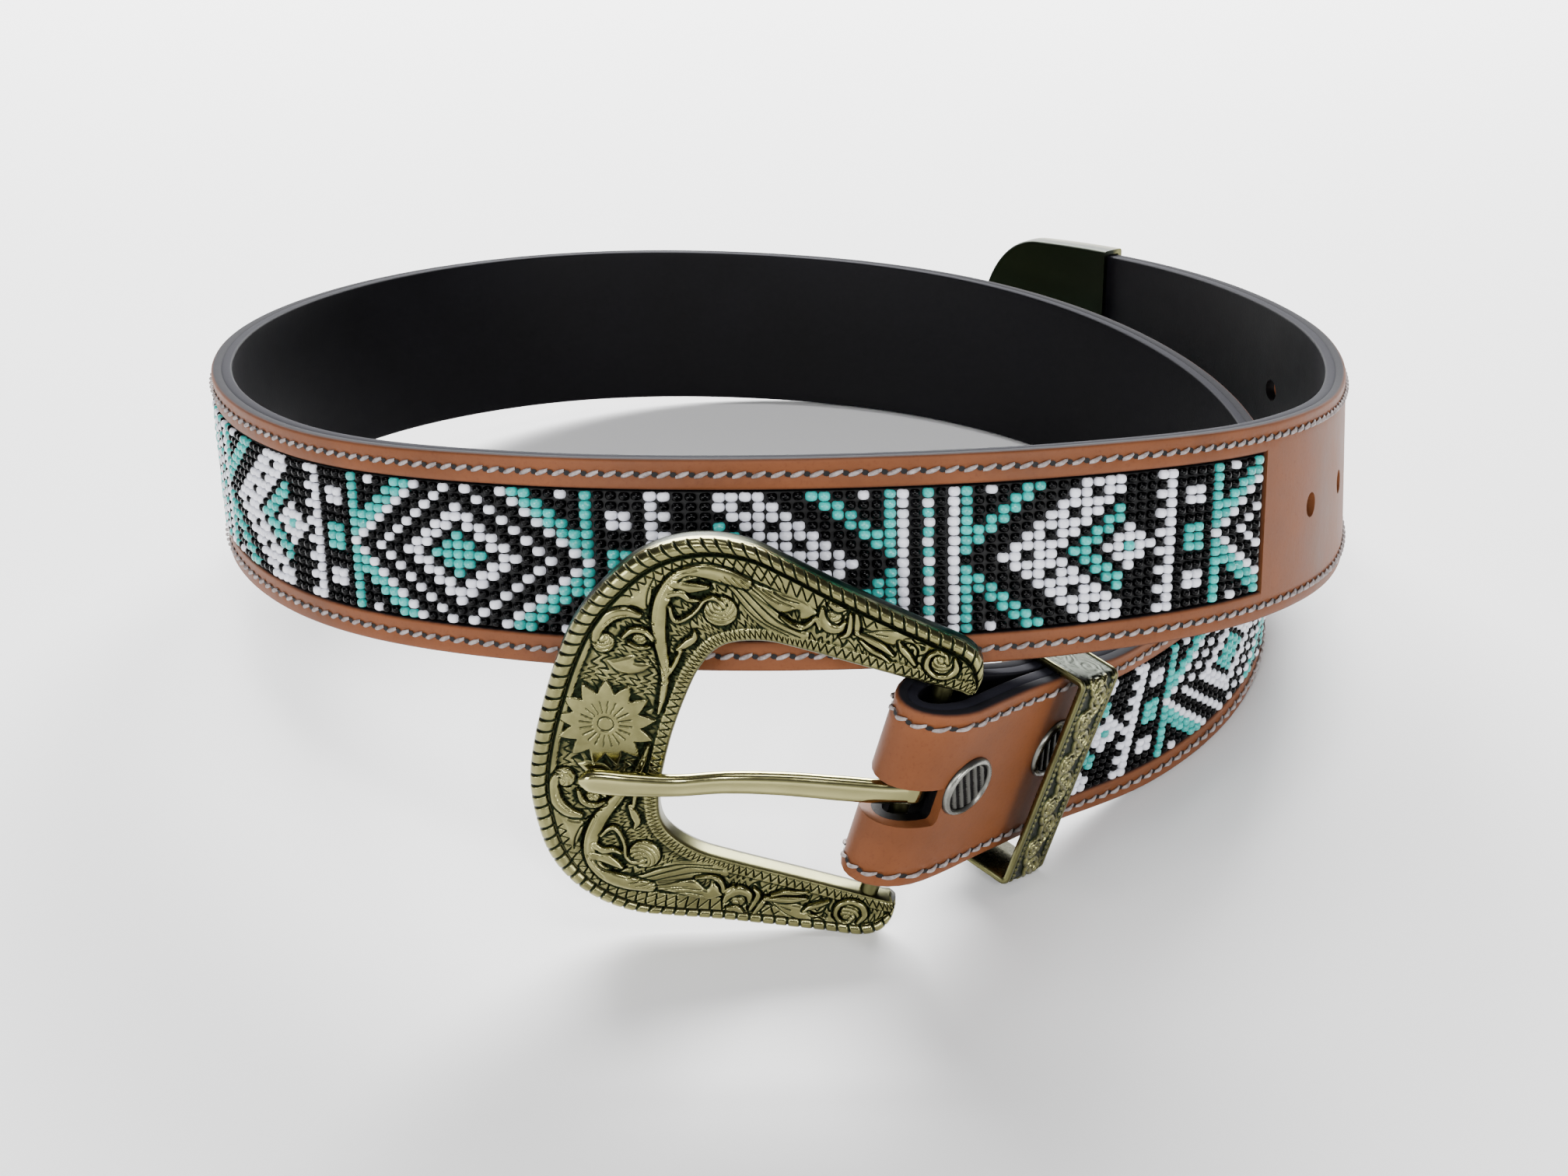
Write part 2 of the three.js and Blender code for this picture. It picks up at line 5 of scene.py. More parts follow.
import bmesh
import bpy
import numpy as np
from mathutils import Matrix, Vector


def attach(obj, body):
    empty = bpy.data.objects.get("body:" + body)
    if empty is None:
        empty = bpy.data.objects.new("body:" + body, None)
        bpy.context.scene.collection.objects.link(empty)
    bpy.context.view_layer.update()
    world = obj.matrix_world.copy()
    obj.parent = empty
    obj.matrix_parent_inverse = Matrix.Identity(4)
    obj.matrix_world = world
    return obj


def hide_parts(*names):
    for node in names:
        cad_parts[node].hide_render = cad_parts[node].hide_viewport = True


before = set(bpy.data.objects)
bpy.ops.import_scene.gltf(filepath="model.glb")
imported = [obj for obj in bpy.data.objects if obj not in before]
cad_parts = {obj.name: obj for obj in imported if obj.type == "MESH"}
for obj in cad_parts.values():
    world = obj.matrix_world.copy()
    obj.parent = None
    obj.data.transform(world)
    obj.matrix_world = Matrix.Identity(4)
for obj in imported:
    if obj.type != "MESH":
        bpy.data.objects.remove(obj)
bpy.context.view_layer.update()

MM = 0.001

# Camera: the photograph's view, with its principal point in the middle
camera_data = bpy.data.cameras.new("camera")
camera_data.sensor_width = 36
camera_data.lens = 53.571
camera_data.clip_start = 0.01
camera = bpy.data.objects.new("camera", camera_data)
camera.location = Vector((-0.0105, -450.8215, 274.3643)) * MM
camera.rotation_euler = (math.radians(59.07825), 0, 0)
bpy.context.scene.collection.objects.link(camera)
bpy.context.scene.camera = camera

# Strap: the same course as the model
STRAP_WIDTH = 38.0
FACE = 2.0
LINING = 2.0
GAP = 0.3
LEATHER = FACE + GAP + LINING
RING = (250.0, 224.0)
SHIFT = np.array([2.22556, 1.99176, 0.43620])
BORDER = 5.5
WINDOW_START = 37.0
WINDOW_END = 777.0
EYE_HALF = 3.0
EYE_REACH = 7.9
LEAF_GAP = 0.3
LEAF_TAPER = 20.0
LEAF_LENGTH = 38.0
GAP_TAKEN = 0.14
HOLE_RADIUS = 2.5
HOLE_PITCH = 25.0
FIRST_HOLE = 21.0
SLOT_TURNS = (8, 172)
SLOT_HALF = 4.1
SLOT_END_HALF = 3.3
SLOT_DROP = 1.2
TIP_LENGTH = 37.0
NOSE_LENGTH = 15.0
FOLD_LENGTH = math.pi / 2 * (EYE_REACH + EYE_HALF + LEATHER)
COURSE = np.array([
    [-80.4, 1.079, 0.318, 9.0],
    [-72.4, 0.973, 0.208, 9.5],
    [-62.6, 0.888, 0.080, 8.0],
    [-47.0, 0.857, 0.004, 1.5],
    [-24.0, 0.845, 0.000, -1.5],
    [4.0, 0.835, 0.000, -0.5],
    [34.0, 0.840, 0.000, 3.2],
    [64.0, 0.871, 0.000, 8.2],
    [94.0, 0.924, 0.008, 12.8],
    [124.0, 0.974, 0.120, 13.2],
    [154.0, 0.995, 0.330, 8.2],
    [184.0, 0.986, 0.613, 0.2],
    [214.0, 0.964, 0.889, -6.9],
    [244.6, 0.955, 1.189, -14.6],
    [270.0, 0.971, 1.335, -17.1],
    [294.0, 0.984, 1.290, -16.1],
    [319.4, 0.964, 1.015, -11.5],
    [346.7, 0.954, 0.670, -6.5],
    [374.0, 0.978, 0.433, -0.4],
    [400.0, 1.016, 0.230, 5.6],
    [427.0, 1.085, 0.010, 12.5],
])


def between(column, u):
    rows = COURSE[:, column]
    rows = np.concatenate([[2 * rows[0] - rows[1]], rows, [2 * rows[-1] - rows[-2]]])
    i = np.clip(np.floor(u).astype(int), 0, len(COURSE) - 2)
    t = u - i
    a, b, c, d = rows[i], rows[i + 1], rows[i + 2], rows[i + 3]
    return (
        (2 * t**3 - 3 * t**2 + 1) * b
        + (t**3 - 2 * t**2 + t) * (c - a) / 2
        + (3 * t**2 - 2 * t**3) * c
        + (t**3 - t**2) * (d - b) / 2
    )


def course_point(u):
    turn = np.radians(between(0, u))
    reach = between(1, u) / 2
    x = np.cos(turn) * reach * RING[0]
    y = np.sin(turn) * reach * RING[1]
    return np.stack([x, y, between(2, u) * STRAP_WIDTH], -1)


def unit(v):
    return v / np.linalg.norm(v, axis=-1, keepdims=True)


def run_along(points):
    return np.concatenate([[0], np.cumsum(np.linalg.norm(np.diff(points, axis=0), axis=1))])


def circle(count):
    return np.linspace(0, 2 * math.pi, count, endpoint=False)


PARAMETERS = np.arange(0, (len(COURSE) - 1) * 60 + 1) / 60
SAMPLES = course_point(PARAMETERS)
LENGTHS = run_along(SAMPLES)
COURSE_LENGTH = LENGTHS[-1]
TIP_START = COURSE_LENGTH - TIP_LENGTH
NOSE_START = COURSE_LENGTH - NOSE_LENGTH


def frames(s):
    """Point on the face's lower edge, and the directions along, up and out, at lengths s."""
    u = np.interp(np.asarray(s, float), LENGTHS, PARAMETERS)
    lean = np.radians(between(3, u))[..., None]
    along = unit(course_point(u + 0.001) - course_point(u - 0.001))
    level = unit(np.stack([along[..., 1], -along[..., 0], np.zeros_like(along[..., 0])], -1))
    up = np.cross(level, along) * np.cos(lean) + level * np.sin(lean)
    return course_point(u) + SHIFT, along, up, np.cross(along, up)


def place(s, w, n, ds=0.0):
    """A point w up the strap and n out of its face, ds along from the frame at s."""
    s, w, n, ds = np.broadcast_arrays(*[np.asarray(a, float) for a in (s, w, n, ds)])
    point, along, up, out = frames(s)
    return point + along * ds[..., None] + up * w[..., None] + out * n[..., None]


def leaf_space(s):
    t = np.clip(s / LEAF_TAPER, 0, 1)
    return LEAF_GAP + (2 * EYE_HALF - LEAF_GAP) * (1 - t * t * (3 - 2 * t))


def skin(v, w, depth):
    """A point of the folded leather: v below 0 runs round the eye and back along the leaf."""
    v, w, depth = np.broadcast_arrays(*[np.asarray(a, float) for a in (v, w, depth)])
    thick = LEATHER - depth
    angle = np.clip(-v / FOLD_LENGTH, 0, 1) * math.pi
    on_leaf = v <= -FOLD_LENGTH
    on_fold = (v < 0) & ~on_leaf
    s = np.where(on_leaf, -v - FOLD_LENGTH, np.where(on_fold, 0.0, v))
    bulge = -(EYE_REACH + thick) * np.sin(angle)
    n_fold = -(LEATHER + EYE_HALF) + (EYE_HALF + thick) * np.cos(angle)
    n = np.where(on_leaf, -(LEATHER + leaf_space(s) + thick), np.where(on_fold, n_fold, -depth))
    return place(s, w, n, np.where(on_fold, bulge, 0.0))


# Mesh helpers
def grid_faces(rows, columns, wrap_rows=False, wrap_columns=False):
    i = np.arange(rows if wrap_rows else rows - 1)
    j = np.arange(columns if wrap_columns else columns - 1)
    i, j = np.meshgrid(i, j, indexing="ij")
    a = i * columns + j
    b = i * columns + (j + 1) % columns
    c = ((i + 1) % rows) * columns + (j + 1) % columns
    d = ((i + 1) % rows) * columns + j
    return np.stack([a, b, c, d], -1).reshape(-1, 4)


def make_mesh(name, verts, faces, smooth=True, sharp=None):
    mesh = bpy.data.meshes.new(name)
    verts = np.asarray(verts, float).reshape(-1, 3) * MM
    mesh.from_pydata(verts.tolist(), [], [list(map(int, f)) for f in faces])
    mesh.update()
    obj = bpy.data.objects.new(name, mesh)
    bpy.context.scene.collection.objects.link(obj)
    if smooth:
        mesh.shade_smooth()
    if sharp:
        mesh.set_sharp_from_angle(angle=math.radians(sharp))
    return obj


def recalculate(obj):
    bm = bmesh.new()
    bm.from_mesh(obj.data)
    bmesh.ops.recalc_face_normals(bm, faces=bm.faces)
    bm.to_mesh(obj.data)
    bm.free()


def add_value(obj, name, values):
    attribute = obj.data.attributes.new(name, "FLOAT", "POINT")
    attribute.data.foreach_set("value", np.asarray(values, np.float32).ravel())


def tube(rings):
    """Vertices and faces of a capped body through rings of equal count."""
    rings = np.asarray(rings, float)
    rows, columns = rings.shape[:2]
    faces = grid_faces(rows, columns, wrap_columns=True).tolist()
    faces.append(list(range(columns))[::-1])
    faces.append([(rows - 1) * columns + j for j in range(columns)])
    return rings.reshape(-1, 3), faces


def copies(stride, faces, count):
    """The faces of one shape with stride vertices, repeated count times."""
    return (faces[None] + (np.arange(count) * stride)[:, None, None]).reshape(-1, faces.shape[1])


def finish_piece(obj, material, body, replaces=()):
    obj.data.materials.append(material)
    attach(obj, body)
    if replaces:
        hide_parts(*replaces)


def add_solid(name, shape, sharp, material, body, replaces=(), patina_and_shade=None):
    """A piece from its vertices and faces; the darkening for patina and painted shade is one value or one
    for each vertex.
    """
    obj = make_mesh(name, *shape, sharp=sharp)
    recalculate(obj)
    if patina_and_shade is not None:
        count = len(obj.data.vertices)
        add_value(obj, "patina_and_shade", np.full(count, patina_and_shade) if np.isscalar(patina_and_shade) else patina_and_shade)
    finish_piece(obj, material, body, replaces)


# Material helpers
def new_material(name, color=(0.5, 0.5, 0.5), roughness=0.5, metallic=0.0):
    material = bpy.data.materials.new(name)
    material.use_nodes = True
    shader = material.node_tree.nodes["Principled BSDF"]
    shader.inputs["Base Color"].default_value = (*color, 1)
    shader.inputs["Roughness"].default_value = roughness
    shader.inputs["Metallic"].default_value = metallic
    return material, shader


def node(material, kind, inputs=None, **settings):
    n = material.node_tree.nodes.new(kind)
    for key, value in settings.items():
        setattr(n, key, value)
    for key, value in (inputs or {}).items():
        target = n.inputs[key]
        if isinstance(value, bpy.types.NodeSocket):
            material.node_tree.links.new(value, target)
        else:
            target.default_value = value
    return n


def join(material, source, target):
    material.node_tree.links.new(source, target)


def noise(material, scale, detail=4.0, roughness=0.55, vector=None):
    if vector is None:
        vector = node(material, "ShaderNodeTexCoord").outputs["Object"]
    inputs = {"Vector": vector, "Scale": scale, "Detail": detail, "Roughness": roughness}
    return node(material, "ShaderNodeTexNoise", inputs).outputs["Fac"]


def ramp(material, value, stops):
    n = node(material, "ShaderNodeValToRGB", {"Fac": value})
    while len(n.color_ramp.elements) < len(stops):
        n.color_ramp.elements.new(0.5)
    for element, (position, color) in zip(n.color_ramp.elements, stops):
        element.position = position
        element.color = (*color, 1) if len(color) == 3 else color
    return n.outputs["Color"]


def grey(v):
    return (v, v, v)


def tinted(color, share):
    return tuple(c * share for c in color)


def mix(material, factor, a, b, blend="MIX"):
    n = node(material, "ShaderNodeMix", data_type="RGBA", blend_type=blend)
    for socket, value in ((n.inputs[0], factor), (n.inputs[6], a), (n.inputs[7], b)):
        if isinstance(value, bpy.types.NodeSocket):
            join(material, value, socket)
        elif isinstance(value, tuple):
            socket.default_value = (*value, 1) if len(value) == 3 else value
        else:
            socket.default_value = value
    return n.outputs[2]


def maths(material, operation, a, b=0.0, c=0.0):
    n = node(material, "ShaderNodeMath", operation=operation)
    for socket, value in zip(n.inputs, (a, b, c)):
        if isinstance(value, bpy.types.NodeSocket):
            join(material, value, socket)
        else:
            socket.default_value = value
    return n.outputs[0]


def bump(material, shader, height, strength, distance, previous=None):
    inputs = {"Height": height, "Strength": strength, "Distance": distance}
    if previous is not None:
        inputs["Normal"] = previous
    n = node(material, "ShaderNodeBump", inputs)
    join(material, n.outputs["Normal"], shader.inputs["Normal"])
    return n.outputs["Normal"]


def attribute(material, name):
    return node(material, "ShaderNodeAttribute", attribute_name=name).outputs["Fac"]


# Materials
def tan_leather():
    m, shader = new_material("tan_leather", roughness=0.42)
    edge = attribute(m, "edge")
    cloud = noise(m, 55, 5)
    base = ramp(m, cloud, [(0.3, (0.118, 0.040, 0.0145)), (0.7, (0.172, 0.057, 0.021))])
    pores = noise(m, 1500, 3, 0.6)
    deep = maths(m, "MULTIPLY", ramp(m, pores, [(0.55, grey(0)), (0.75, grey(1))]), 0.35)
    base = mix(m, deep, base, (0.075, 0.020, 0.007))
    base = mix(m, edge, base, (0.006, 0.006, 0.009))
    join(m, base, shader.inputs["Base Color"])
    rough = ramp(m, cloud, [(0.2, grey(0.42)), (0.8, grey(0.56))])
    join(m, mix(m, edge, rough, grey(0.85)), shader.inputs["Roughness"])
    shader.inputs["Specular IOR Level"].default_value = 0.14
    first = bump(m, shader, pores, 0.15, 0.0001)
    bump(m, shader, noise(m, 260, 4), 0.2, 0.0003, first)
    return m


def black_leather():
    m, shader = new_material("black_leather", roughness=0.5)
    edge = attribute(m, "edge")
    cloud = noise(m, 40, 4)
    base = ramp(m, cloud, [(0.3, (0.0012, 0.0011, 0.0018)), (0.7, (0.0026, 0.0024, 0.0038))])
    base = mix(m, edge, base, (0.008, 0.008, 0.013))
    join(m, base, shader.inputs["Base Color"])
    rough = ramp(m, cloud, [(0.2, grey(0.45)), (0.8, grey(0.56))])
    join(m, mix(m, edge, rough, grey(0.85)), shader.inputs["Roughness"])
    shader.inputs["Specular IOR Level"].default_value = 0.12
    first = bump(m, shader, noise(m, 1800, 3, 0.6), 0.25, 0.0001)
    bump(m, shader, noise(m, 240, 4), 0.12, 0.0003, first)
    return m


def bead_glass(name, color, roughness, spread=0.1, subsurface=0.0, coat=0.5, specular=0.3):
    m, shader = new_material(name, color, roughness)
    tone = attribute(m, "tone")
    tones = [(0.0, tinted(color, 1 - spread)), (1.0, tinted(color, 1 + spread))]
    join(m, ramp(m, tone, tones), shader.inputs["Base Color"])
    shader.inputs["Coat Weight"].default_value = coat
    shader.inputs["Coat Roughness"].default_value = 0.06
    shader.inputs["Specular IOR Level"].default_value = specular
    shader.inputs["Subsurface Weight"].default_value = subsurface
    shader.inputs["Subsurface Radius"].default_value = (0.6, 0.6, 0.6)
    shader.inputs["Subsurface Scale"].default_value = 0.0006
    return m


def thread(name, light, dark):
    m, shader = new_material(name, light, 0.6)
    fibre = noise(m, 900, 4, 0.6)
    join(m, ramp(m, fibre, [(0.35, dark), (0.65, light)]), shader.inputs["Base Color"])
    shader.inputs["Specular IOR Level"].default_value = 0.25
    bump(m, shader, fibre, 0.5, 0.0001)
    return m


def brass(name, bright, dark, low=0.2, high=0.42):
    """Antique brass: a point attribute darkens it, 1 for the patina in recesses and 0 on what is rubbed
    bright; on some walls and backs it is painted shade.
    """
    m, shader = new_material(name, bright, 0.3, 1.0)
    patina_and_shade = attribute(m, "patina_and_shade")
    tarnish = noise(m, 180, 5, 0.6)
    fine = noise(m, 1300, 4, 0.6)
    base = ramp(m, tarnish, [(0.32, tinted(bright, 0.62)), (0.68, tinted(bright, 1.2))])
    # Tarnish, patina in recesses and painted shade all pull the colour towards dark
    tarnish_patina_shade = maths(m, "MULTIPLY_ADD", tarnish, 0.35, patina_and_shade)
    base = mix(m, ramp(m, tarnish_patina_shade, [(0.30, grey(0)), (0.95, grey(1))]), base, dark)
    join(m, base, shader.inputs["Base Color"])
    rough = maths(m, "MULTIPLY_ADD", patina_and_shade, high - low, low)
    rough = maths(m, "MULTIPLY_ADD", fine, 0.10, rough)
    join(m, rough, shader.inputs["Roughness"])
    bump(m, shader, fine, 0.12, 0.0001)
    return m


def polished(name, color, roughness):
    m, shader = new_material(name, color, roughness, 1.0)
    patches = noise(m, 120, 4)
    join(m, ramp(m, patches, [(0.35, tinted(color, 0.85)), (0.65, color)]), shader.inputs["Base Color"])
    fine = noise(m, 900, 3)
    join(m, maths(m, "MULTIPLY_ADD", fine, 0.12, roughness - 0.04), shader.inputs["Roughness"])
    bump(m, shader, fine, 0.05, 0.0001)
    return m


TAN = tan_leather()
BLACK = black_leather()
BEAD_BLACK = bead_glass("bead_black", (0.0004, 0.0004, 0.0006), 0.10, 0.2, coat=0.0, specular=0.10)
BEAD_WHITE = bead_glass("bead_white", (0.70, 0.71, 0.78), 0.18, 0.08, 0.1)
BEAD_TURQUOISE = bead_glass("bead_turquoise", (0.020, 0.36, 0.33), 0.18, 0.18, 0.05)
WEFT_AND_HOLE_SHADE = thread("weft", (0.003, 0.003, 0.0035), (0.001, 0.001, 0.0012))
CORD = thread("waxed_cord", (0.36, 0.32, 0.31), (0.16, 0.135, 0.13))
ANTIQUE = brass("antique_brass", (0.235, 0.222, 0.096), (0.009, 0.013, 0.006), 0.14, 0.40)
BRIGHT = polished("polished_brass", (0.37, 0.345, 0.155), 0.13)
NICKEL = brass("nickel", (0.27, 0.27, 0.24), (0.012, 0.011, 0.011), 0.2, 0.5)


# Leather section: points round a strip, with rounded long edges
def section(low, high, top, bottom, spacing, radius=0.75):
    """Rows of (w, depth, edge), clockwise from the lower edge over the front to the back."""
    count = max(2, int(round((high - low - 2 * radius) / spacing)))
    front = [(w, top, 0.0) for w in np.linspace(low + radius, high - radius, count)]
    back = [(w, bottom, 1.0) for w in np.linspace(high - 0.2, low + 0.2, max(3, count // 3))]
    turn = [math.radians(a) for a in (20, 45, 70, 90)]
    upper = [(high - radius + radius * math.sin(a), top + radius * (1 - math.cos(a)),
              math.sin(a) ** 3) for a in turn]
    lower = [(low + high - w, d, e) for w, d, e in upper][::-1]
    sides = [(high, bottom - 0.4, 1.0), (low, bottom - 0.4, 1.0)]
    return np.array(front + upper + sides[:1] + back + sides[1:] + lower)


def leather_strip(name, stations, profile, dent=None):
    w, depth, edge = profile.T
    v = np.asarray(stations)[:, None]
    sunk = depth[None, :] + (0 if dent is None else dent(v, w[None, :], depth[None, :]))
    obj = make_mesh(name, *tube(skin(v, w[None, :], sunk)), sharp=50)
    recalculate(obj)
    add_value(obj, "edge", np.broadcast_to(edge, (len(stations), len(edge))))
    return obj


STITCH = 3.3
LOW_LINE = BORDER / 2
HIGH_LINE = STRAP_WIDTH - BORDER / 2


def stitch_dent(v, w, depth):
    """A shallow channel along the stitch lines, deepest at each hole."""
    phase = (v / STITCH) % 1.0
    hole = np.exp(-((np.minimum(phase, 1 - phase) * STITCH / 0.55) ** 2))
    near = np.exp(-(((w - LOW_LINE) / 0.75) ** 2)) + np.exp(-(((w - HIGH_LINE) / 0.75) ** 2))
    return np.where(depth < 0.01, near * (0.10 + 0.35 * hole), 0.0)


def tan_face():
    step = STITCH / 4
    leaf_end = -FOLD_LENGTH - LEAF_LENGTH
    under_tip = TIP_START + 21
    back = FACE + GAP_TAKEN
    pieces = []
    for name, start, end in (("face_fold", leaf_end, WINDOW_START), ("face_end", WINDOW_END, under_tip)):
        stations = np.linspace(start, end, int((end - start) / (2 * step)) + 1)
        pieces.append(leather_strip(name, stations, section(0, STRAP_WIDTH, 0, back, 0.8), stitch_dent))
    stations = np.linspace(WINDOW_START, WINDOW_END, int((WINDOW_END - WINDOW_START) / step) + 1)
    for name, low in (("border_low", 0), ("border_high", STRAP_WIDTH - BORDER)):
        profile = section(low, low + BORDER, 0, back, 0.5, 0.6)
        pieces.append(leather_strip(name, stations, profile, stitch_dent))
    return pieces


def cutter(name, rings):
    obj = make_mesh(name, *tube(rings), smooth=False)
    recalculate(obj)
    return obj


def cut(obj, tools):
    """Cuts the tools out of obj and removes them."""
    for tool in tools:
        modifier = obj.modifiers.new("cut", "BOOLEAN")
        modifier.operation = "DIFFERENCE"
        modifier.solver = "EXACT"
        modifier.object = tool
    bpy.context.view_layer.update()
    depsgraph = bpy.context.evaluated_depsgraph_get()
    mesh = bpy.data.meshes.new_from_object(obj.evaluated_get(depsgraph))
    old = obj.data
    obj.modifiers.clear()
    obj.data = mesh
    bpy.data.meshes.remove(old)
    for tool in tools:
        bpy.data.objects.remove(tool)
    obj.data.shade_smooth()
    obj.data.set_sharp_from_angle(angle=math.radians(50))


def round_hole(s):
    angles = circle(24)
    w, along = STRAP_WIDTH / 2 + HOLE_RADIUS * np.sin(angles), HOLE_RADIUS * np.cos(angles)
    return cutter("hole", [place(s, w, depth, along) for depth in (4.0, -12.0)])


def slot_cutter():
    """The prong's slot, from one angle round the fold to another, with narrower ends."""
    start, stop = SLOT_TURNS
    turns = np.concatenate([np.linspace(start, 20, 7), np.linspace(30, 150, 11), np.linspace(160, stop, 7)])
    middle = STRAP_WIDTH / 2 - SLOT_DROP
    rows = []
    for turn in turns:
        end = min(turn - start, stop - turn)
        half = SLOT_HALF * math.sqrt(min(1, 0.7 + 0.3 * (end / 4) ** 0.5)) if end > 0 else SLOT_END_HALF
        low, high = middle - half, middle + half
        corners = ((low, -1), (high, -1), (high, LEATHER + 1), (low, LEATHER + 1))
        rows.append([skin(-FOLD_LENGTH * turn / 180, w, depth) for w, depth in corners])
    return cutter("slot", rows)


HOLES = [WINDOW_END + FIRST_HOLE + HOLE_PITCH * i for i in range(5)]


def build_leather():
    fold, end, low, high = tan_face()
    cut(fold, [slot_cutter()])
    cut(end, [round_hole(s) for s in HOLES])
    for obj in (fold, end, low, high):
        finish_piece(obj, TAN, "strap")
    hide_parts("strap_face")
    leaf_end = -FOLD_LENGTH - LEAF_LENGTH
    stations = np.concatenate([np.linspace(leaf_end, 0, 60)[:-1], np.linspace(0, COURSE_LENGTH - 16, 420)])
    front = FACE + GAP - GAP_TAKEN
    profile = section(0, STRAP_WIDTH, front, LEATHER, 1.6, 0.5)
    profile[:, 1] = front + LEATHER - profile[:, 1]
    lining = leather_strip("lining", stations, profile)
    cut(lining, [slot_cutter()] + [round_hole(s) for s in HOLES])
    finish_piece(lining, BLACK, "strap", ["strap_lining"])


build_leather()


# Bead work. Half of the pattern's period, one row of letters for each bead row down to the middle:
# w white, t turquoise, . black. It is mirrored about the middle row and about both end columns.
ROWS = 15
PATTERN = [
    "t.wt.w..tt...wwww...ww....t.w..ttw..w.",
    "w.wt...tt...ww.ww....w....t...ttw..w..",
    "t.wt..tt...wwwww....ww.ww.t..ttw..w..w",
    "w.wt.tt...ww.ww.t....w.ww.t.ttw..w..ww",
    "t.wttt...wwwww.tt...ww....tttw..w..ww.",
    "w.wtt...ww.ww.tt.w...w....ttw..w..ww.t",
    "t.wt...wwwww.tt.www.ww.tt.tw..w..ww.tt",
    "w.w...ww.ww.tt.wwtww.w.tt.w..w..ww.ttt",
]


def bead_kind(column, row):
    half = len(PATTERN[0]) - 1
    c = abs(column) % (2 * half)
    c = min(c, 2 * half - c)
    return PATTERN[min(row, ROWS - 1 - row)][c]


# Columns seen in the photograph, and how far along the strap each lies
COLUMN_PLACES = [(-37, 613.1), (-26, 640.0), (-16, 664.4), (-9, 680.5), (0, 700.63), (9, 720.7),
                 (16, 736.7), (21, 748.6), (26, 761.3), (31, 774.4)]


BEAD_PITCH = 2.33
# For each letter: the piece, its material, breadth, half height as a share of a row, and sides
BEADS = {
    "w": ("beads_white", BEAD_WHITE, 0.97, 0.475, 8),
    "t": ("beads_turquoise", BEAD_TURQUOISE, 0.97, 0.475, 8),
    ".": ("beads_black", BEAD_BLACK, 0.84, 0.42, 6),
}


def bead_places():
    """Columns and how far along the strap they lie; an even pitch before the first one seen."""
    known = np.array(COLUMN_PLACES)
    seen, start = COLUMN_PLACES[0]
    first = int(math.ceil((WINDOW_START + 1.8 - start) / BEAD_PITCH)) + seen
    columns = np.arange(first, COLUMN_PLACES[-1][0] + 1)
    before = start + (columns - seen) * BEAD_PITCH
    return columns, np.where(columns < seen, before, np.interp(columns, known[:, 0], known[:, 1]))


def barrel(half, sides):
    """Front part of a bead turned about the strap's up direction: vertices (along, up, out)."""
    levels = [(-half, 0.36), (-0.86 * half, 0.74), (-0.5 * half, 0.95), (0.0, 1.0), (0.5 * half, 0.95),
              (0.86 * half, 0.74), (half, 0.36)]
    angles = np.radians(np.linspace(-12, 192, sides))
    rows = [[(r * math.cos(a), b, r * math.sin(a)) for a in angles] for b, r in levels]
    return np.array(rows).reshape(-1, 3), grid_faces(len(levels), sides)


def build_beads():
    columns, places = bead_places()
    pitch = (STRAP_WIDTH - 2 * BORDER - 0.7) / ROWS
    rng = np.random.default_rng(7)
    kinds = {"w": [], "t": [], ".": []}
    for column, s in zip(columns, places):
        drift = 0.12 * math.sin(column * 1.7)
        for row in range(ROWS):
            w = STRAP_WIDTH - BORDER - 0.35 - (row + 0.5) * pitch
            kinds[bead_kind(int(column), row)].append((s, w + drift * 0.4, column))
    widths = dict(zip(columns.tolist(), np.gradient(places)))
    for kind, (name, material, size, half, sides) in BEADS.items():
        items = np.array(kinds[kind])
        count = len(items)
        shape, faces = barrel(half * pitch, sides)
        grow = size * (1 + rng.normal(0, 0.025, count))
        point, along, up, out = frames(items[:, 0] + rng.normal(0, 0.06, count))
        radius = np.array([widths[int(c)] for c in items[:, 2]]) * 0.495
        tilt = rng.normal(0, 0.05, count)[:, None]
        a = along * np.cos(tilt) + up * np.sin(tilt)
        b = up * np.cos(tilt) - along * np.sin(tilt)
        w = items[:, 1] + rng.normal(0, 0.03, count)
        n = -0.55 + rng.normal(0, 0.03, count)
        stretch = 1 + 0.03 * rng.normal(0, 1, count)
        verts = (point + up * w[:, None] + out * n[:, None])[:, None]
        for k, (axis, scale) in enumerate(((a, radius * grow), (b, stretch), (out, 1.05 * grow))):
            verts = verts + axis[:, None] * (shape[None, :, k] * scale[:, None])[..., None]
        obj = make_mesh(name, verts, copies(len(shape), faces, count))
        add_value(obj, "tone", np.repeat(rng.random(count), len(shape)))
        finish_piece(obj, material, "strap")
    # Dark weft behind the beads
    stations = np.linspace(WINDOW_START + GAP, WINDOW_END - GAP, 320)
    profile = section(BORDER + GAP, STRAP_WIDTH - BORDER - GAP, 0.75, FACE, 3.0, 0.3)
    back = leather_strip("weft", stations, profile)
    finish_piece(back, WEFT_AND_HOLE_SHADE, "strap", ["bead_band"])


build_beads()


